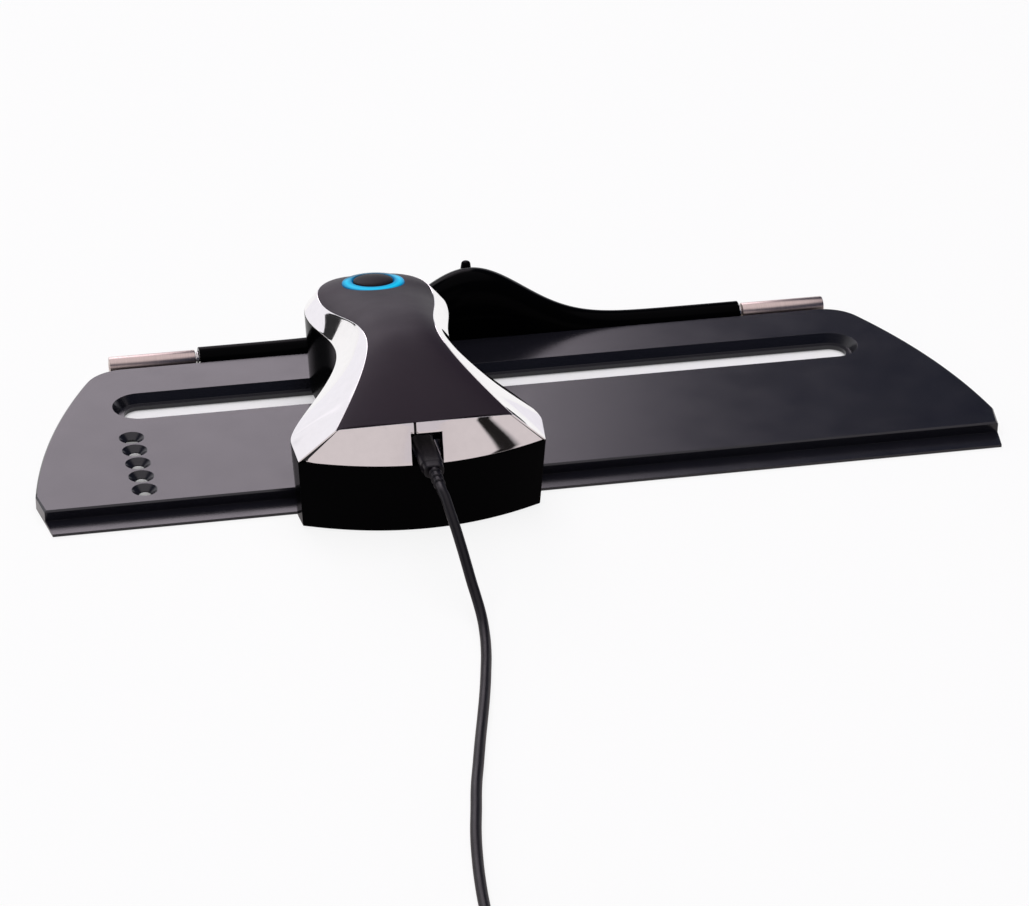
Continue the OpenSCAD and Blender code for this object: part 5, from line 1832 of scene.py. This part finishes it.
class Sky(Nodes):
    """The world's node tree: lights added over the directions round the device."""

    def __init__(self, tree: bpy.types.NodeTree) -> None:
        """Start an empty tree, with the turn from the rear in degrees and the rise as sockets.

        Args:
            tree: The world's node tree.
        """
        super().__init__(tree)
        x, y, self.rise = self.split(self.add("ShaderNodeTexCoord").outputs["Generated"])
        self.turn = self.times(self.math("ARCTAN2", x, y), math.degrees(1.0))
        self.total: Socket | None = None

    def add_light(self, colour: Socket | Colour, where: Socket | None) -> None:
        """Add a light of this colour where a value is 1, or everywhere.

        Args:
            colour: Colour of the light.
            where: Value that the light follows, or None.
        """
        tone = colour if isinstance(colour, Socket) else (*colour, 1.0)
        node = self.wire("ShaderNodeBackground", {"Color": tone})
        if where is not None:
            self.link(where, node.inputs["Strength"])
        light = node.outputs["Background"]
        if self.total is not None:
            light = self.wire("ShaderNodeAddShader", {0: self.total, 1: light}).outputs["Shader"]
        self.total = light

    def finish(self) -> None:
        """Show plain white to the camera and through glass, and the lights to everything else."""
        white = self.wire("ShaderNodeBackground", {"Color": (1.0, 1.0, 1.0, 1.0)})
        path = self.add("ShaderNodeLightPath").outputs
        mix = self.wire("ShaderNodeMixShader", {
            "Fac": self.most(path["Is Camera Ray"], path["Is Transmission Ray"]), 1: self.total,
            2: white.outputs["Background"]})
        self.wire("ShaderNodeOutputWorld", {"Surface": mix.outputs["Shader"]})


@dataclass
class Studio:
    """The camera at the photograph's angle, the pale floor and the soft light, with the floor's bands in metres."""

    eye: tuple[float, float, float] = (-0.23305075, -1.09764726, 0.57947722)
    right: tuple[float, float, float] = (0.97829137, -0.2071165, 0.00698322)
    down: tuple[float, float, float] = (-0.0908616, -0.45897279, -0.88379192)
    ahead: tuple[float, float, float] = (0.186253, 0.8639715, -0.46782805)
    focal_px: float = 3600.0
    image_w: float = 1029.0
    sensor: float = 36.0
    floor_half: float = 4000.0
    # Painted reflection: the warm grey that reflections and glass see on the floor in front, while the camera sees it
    # white
    front_reflection_tone: Colour = (0.62, 0.55, 0.55)
    white_y: Pair = (-0.1, 0.05)
    # Painted reflection: a dark band on the floor in front that only reflections and glass see, mirrored by the front
    # trim
    dark_reflection_x: Band = (0.03, 0.17, 0.02)
    dark_reflection_y: Band = (-0.235, -0.178, 0.025)
    dark_reflection_glow: float = 0.02
    under_x: Band = (-0.137, 0.137, 0.002)
    under_y: Band = (-0.046, 0.034, 0.002)
    glow_share: Pair = (0.85, 0.25)
    card_near: Pair = (-503.0, 780.0)
    card_far: Pair = (-839.0, 447.0)
    card_z: Pair = (8.0, 88.0)
    horizon: tuple[tuple[float, Colour], ...] = (
        (0.0, (0.56, 0.5, 0.5)), (0.2, (0.6, 0.56, 0.56)), (0.33, (0.9, 0.87, 0.88)), (0.5, (0.9, 0.88, 0.9)),
        (0.6, (0.85, 0.82, 0.85)), (0.75, (0.85, 0.82, 0.84)), (0.9, (0.56, 0.5, 0.5)), (1.0, (0.56, 0.5, 0.5)))
    horizon_rise: Pair = (0.12, 0.3)
    left_turn: Pair = (-6.0, 6.0)
    left_rise: Pair = (0.4, 0.6)
    sky_light: Colour = (0.03, 0.04, 0.075)
    panel_light: Colour = (2.35, 2.1, 2.3)
    panel_turn: Band = (-22.0, 10.0, 6.0)
    panel_rise: Band = (0.36, 0.7, 0.1)
    dome_light: Colour = (0.95, 0.88, 0.9)
    dome_rise: Pair = (0.72, 0.86)
    lamp_at: tuple[float, float, float] = (-0.3, 0.1, 1.7)
    lamp_size: Pair = (2.2, 1.6)
    lamp_power: float = 14.0

    def camera(self) -> None:
        """Make the camera."""
        data = bpy.data.cameras.new("camera")
        data.sensor_fit = "HORIZONTAL"
        data.sensor_width = self.sensor
        data.lens = self.focal_px * self.sensor / self.image_w
        data.clip_start, data.clip_end = 0.05, 50.0
        camera = put("camera", data)
        columns = (Vector(self.right), -Vector(self.down), -Vector(self.ahead), Vector(self.eye))
        camera.matrix_world = Matrix([[c[i] for c in columns] for i in range(3)] + [[0, 0, 0, 1]])
        bpy.context.scene.camera = camera

    def build(self) -> None:
        """Make the floor, the card, the world and the lamp."""
        bpy.context.scene.view_settings.view_transform = "Standard"
        self.floor()
        self.card()
        self.world()
        self.lamp()

    def floor(self) -> None:
        """Make the pale floor, near white to the camera and still shaded under the device, with painted reflections: a
        warm grey front and a dark band that only reflections and glass see.
        """
        half = self.floor_half
        corners = [(-half, -half, 0), (half, -half, 0), (half, half, 0), (-half, half, 0)]
        piece = make_piece("floor", corners, [(0, 1, 2, 3)])
        graph = Graph("floor_white")
        graph.paint(graph.ramp(graph.noise(3.0), (0.3, (0.9, 0.9, 0.9)), (0.7, (0.92, 0.92, 0.92))))
        graph.fix(Roughness=0.9, Specular_IOR_Level=0.0)
        x, y, _ = graph.split(graph.where)
        path = graph.add("ShaderNodeLightPath").outputs
        camera, glossy = path["Is Camera Ray"], path["Is Glossy Ray"]
        # Painted reflection: the dark band is seen only by glossy and transmission rays, while the camera sees white
        # floor
        dark_reflection = graph.times(graph.band(y, *self.dark_reflection_y), graph.band(x, *self.dark_reflection_x))
        under = graph.times(graph.band(x, *self.under_x), graph.band(y, *self.under_y))
        # Painted reflection: in front of the device the floor shows reflections a warm grey; the camera always sees
        # white
        white = graph.most(camera, graph.span(y, 0.0, 1.0, *self.white_y, True))
        tone = graph.wire("ShaderNodeMix", {
            "Factor": white, "A": (*self.front_reflection_tone, 1.0), "B": (1.0, 1.0, 1.0, 1.0)}, data_type="RGBA")
        strength = graph.most(camera, graph.span(dark_reflection, 1.0, self.dark_reflection_glow, 0.0, 1.0))
        glow = graph.wire("ShaderNodeEmission", {"Color": tone.outputs["Result"], "Strength": strength})
        seen = graph.most(camera, graph.most(glossy, path["Is Transmission Ray"]))
        share = graph.most(graph.span(under, *self.glow_share, 0.0, 1.0), graph.times(dark_reflection, glossy))
        mix = graph.wire("ShaderNodeMixShader", {
            "Fac": graph.times(seen, share), 1: graph.shader.outputs["BSDF"], 2: glow.outputs["Emission"]})
        graph.link(mix.outputs["Shader"], graph.surface)
        piece.data.materials.append(graph.material)

    def card(self) -> None:
        """Stand a black card behind the left that only the bright trim mirrors, as one dark band."""
        near, far, (foot, top) = self.card_near, self.card_far, self.card_z
        piece = make_piece("black_card", [(*near, foot), (*far, foot), (*far, top), (*near, top)], [(0, 1, 2, 3)])
        piece.data.materials.append(Finish.MATTE.material())
        piece.visible_camera = piece.visible_diffuse = piece.visible_shadow = False

    def world(self) -> None:
        """Make the studio's surroundings: white to the camera, a pale horizon and a soft panel at the rear left."""
        world = bpy.data.worlds.new("studio")
        bpy.context.scene.world = world
        world.use_nodes = True
        sky = Sky(world.node_tree)
        turn, rise = sky.turn, sky.rise
        left = sky.times(sky.span(turn, 1.0, 0.0, *self.left_turn, True),
                         sky.span(rise, 1.0, 0.0, *self.left_rise, True))
        low = sky.most(sky.span(rise, 1.0, 0.0, *self.horizon_rise, True), left)
        panel = sky.times(sky.band(turn, *self.panel_turn), sky.band(rise, *self.panel_rise))
        sky.add_light(self.sky_light, None)
        sky.add_light(sky.ramp(sky.span(turn, 0.0, 1.0, -180.0, 180.0), *self.horizon), low)
        sky.add_light(self.panel_light, panel)
        sky.add_light(self.dome_light, sky.span(rise, 0.0, 1.0, *self.dome_rise, True))
        sky.finish()

    def lamp(self) -> None:
        """Hang the soft panel lamp over the device, facing the origin."""
        data = bpy.data.lights.new("overhead_panel", "AREA")
        data.shape = "RECTANGLE"
        data.size, data.size_y = self.lamp_size
        data.energy = self.lamp_power
        lamp = put("overhead_panel", data)
        lamp.location = self.lamp_at
        lamp.rotation_euler = (-Vector(self.lamp_at)).to_track_quat("-Z", "Y").to_euler()
        lamp.visible_glossy = False


def main() -> None:
    """Build the scene in order: camera, lead, head, guide, kept nodes and studio."""
    logging.basicConfig(level=logging.INFO, format="%(name)s: %(message)s")
    studio = Studio()
    studio.camera()
    Lead().build()
    MeasuringHead().build()
    GuidePlate().build()
    RollingBar().build()
    for screws in screw_sets():
        screws.build()
    dress_kept()
    studio.build()


if __name__ == "__main__":
    main()
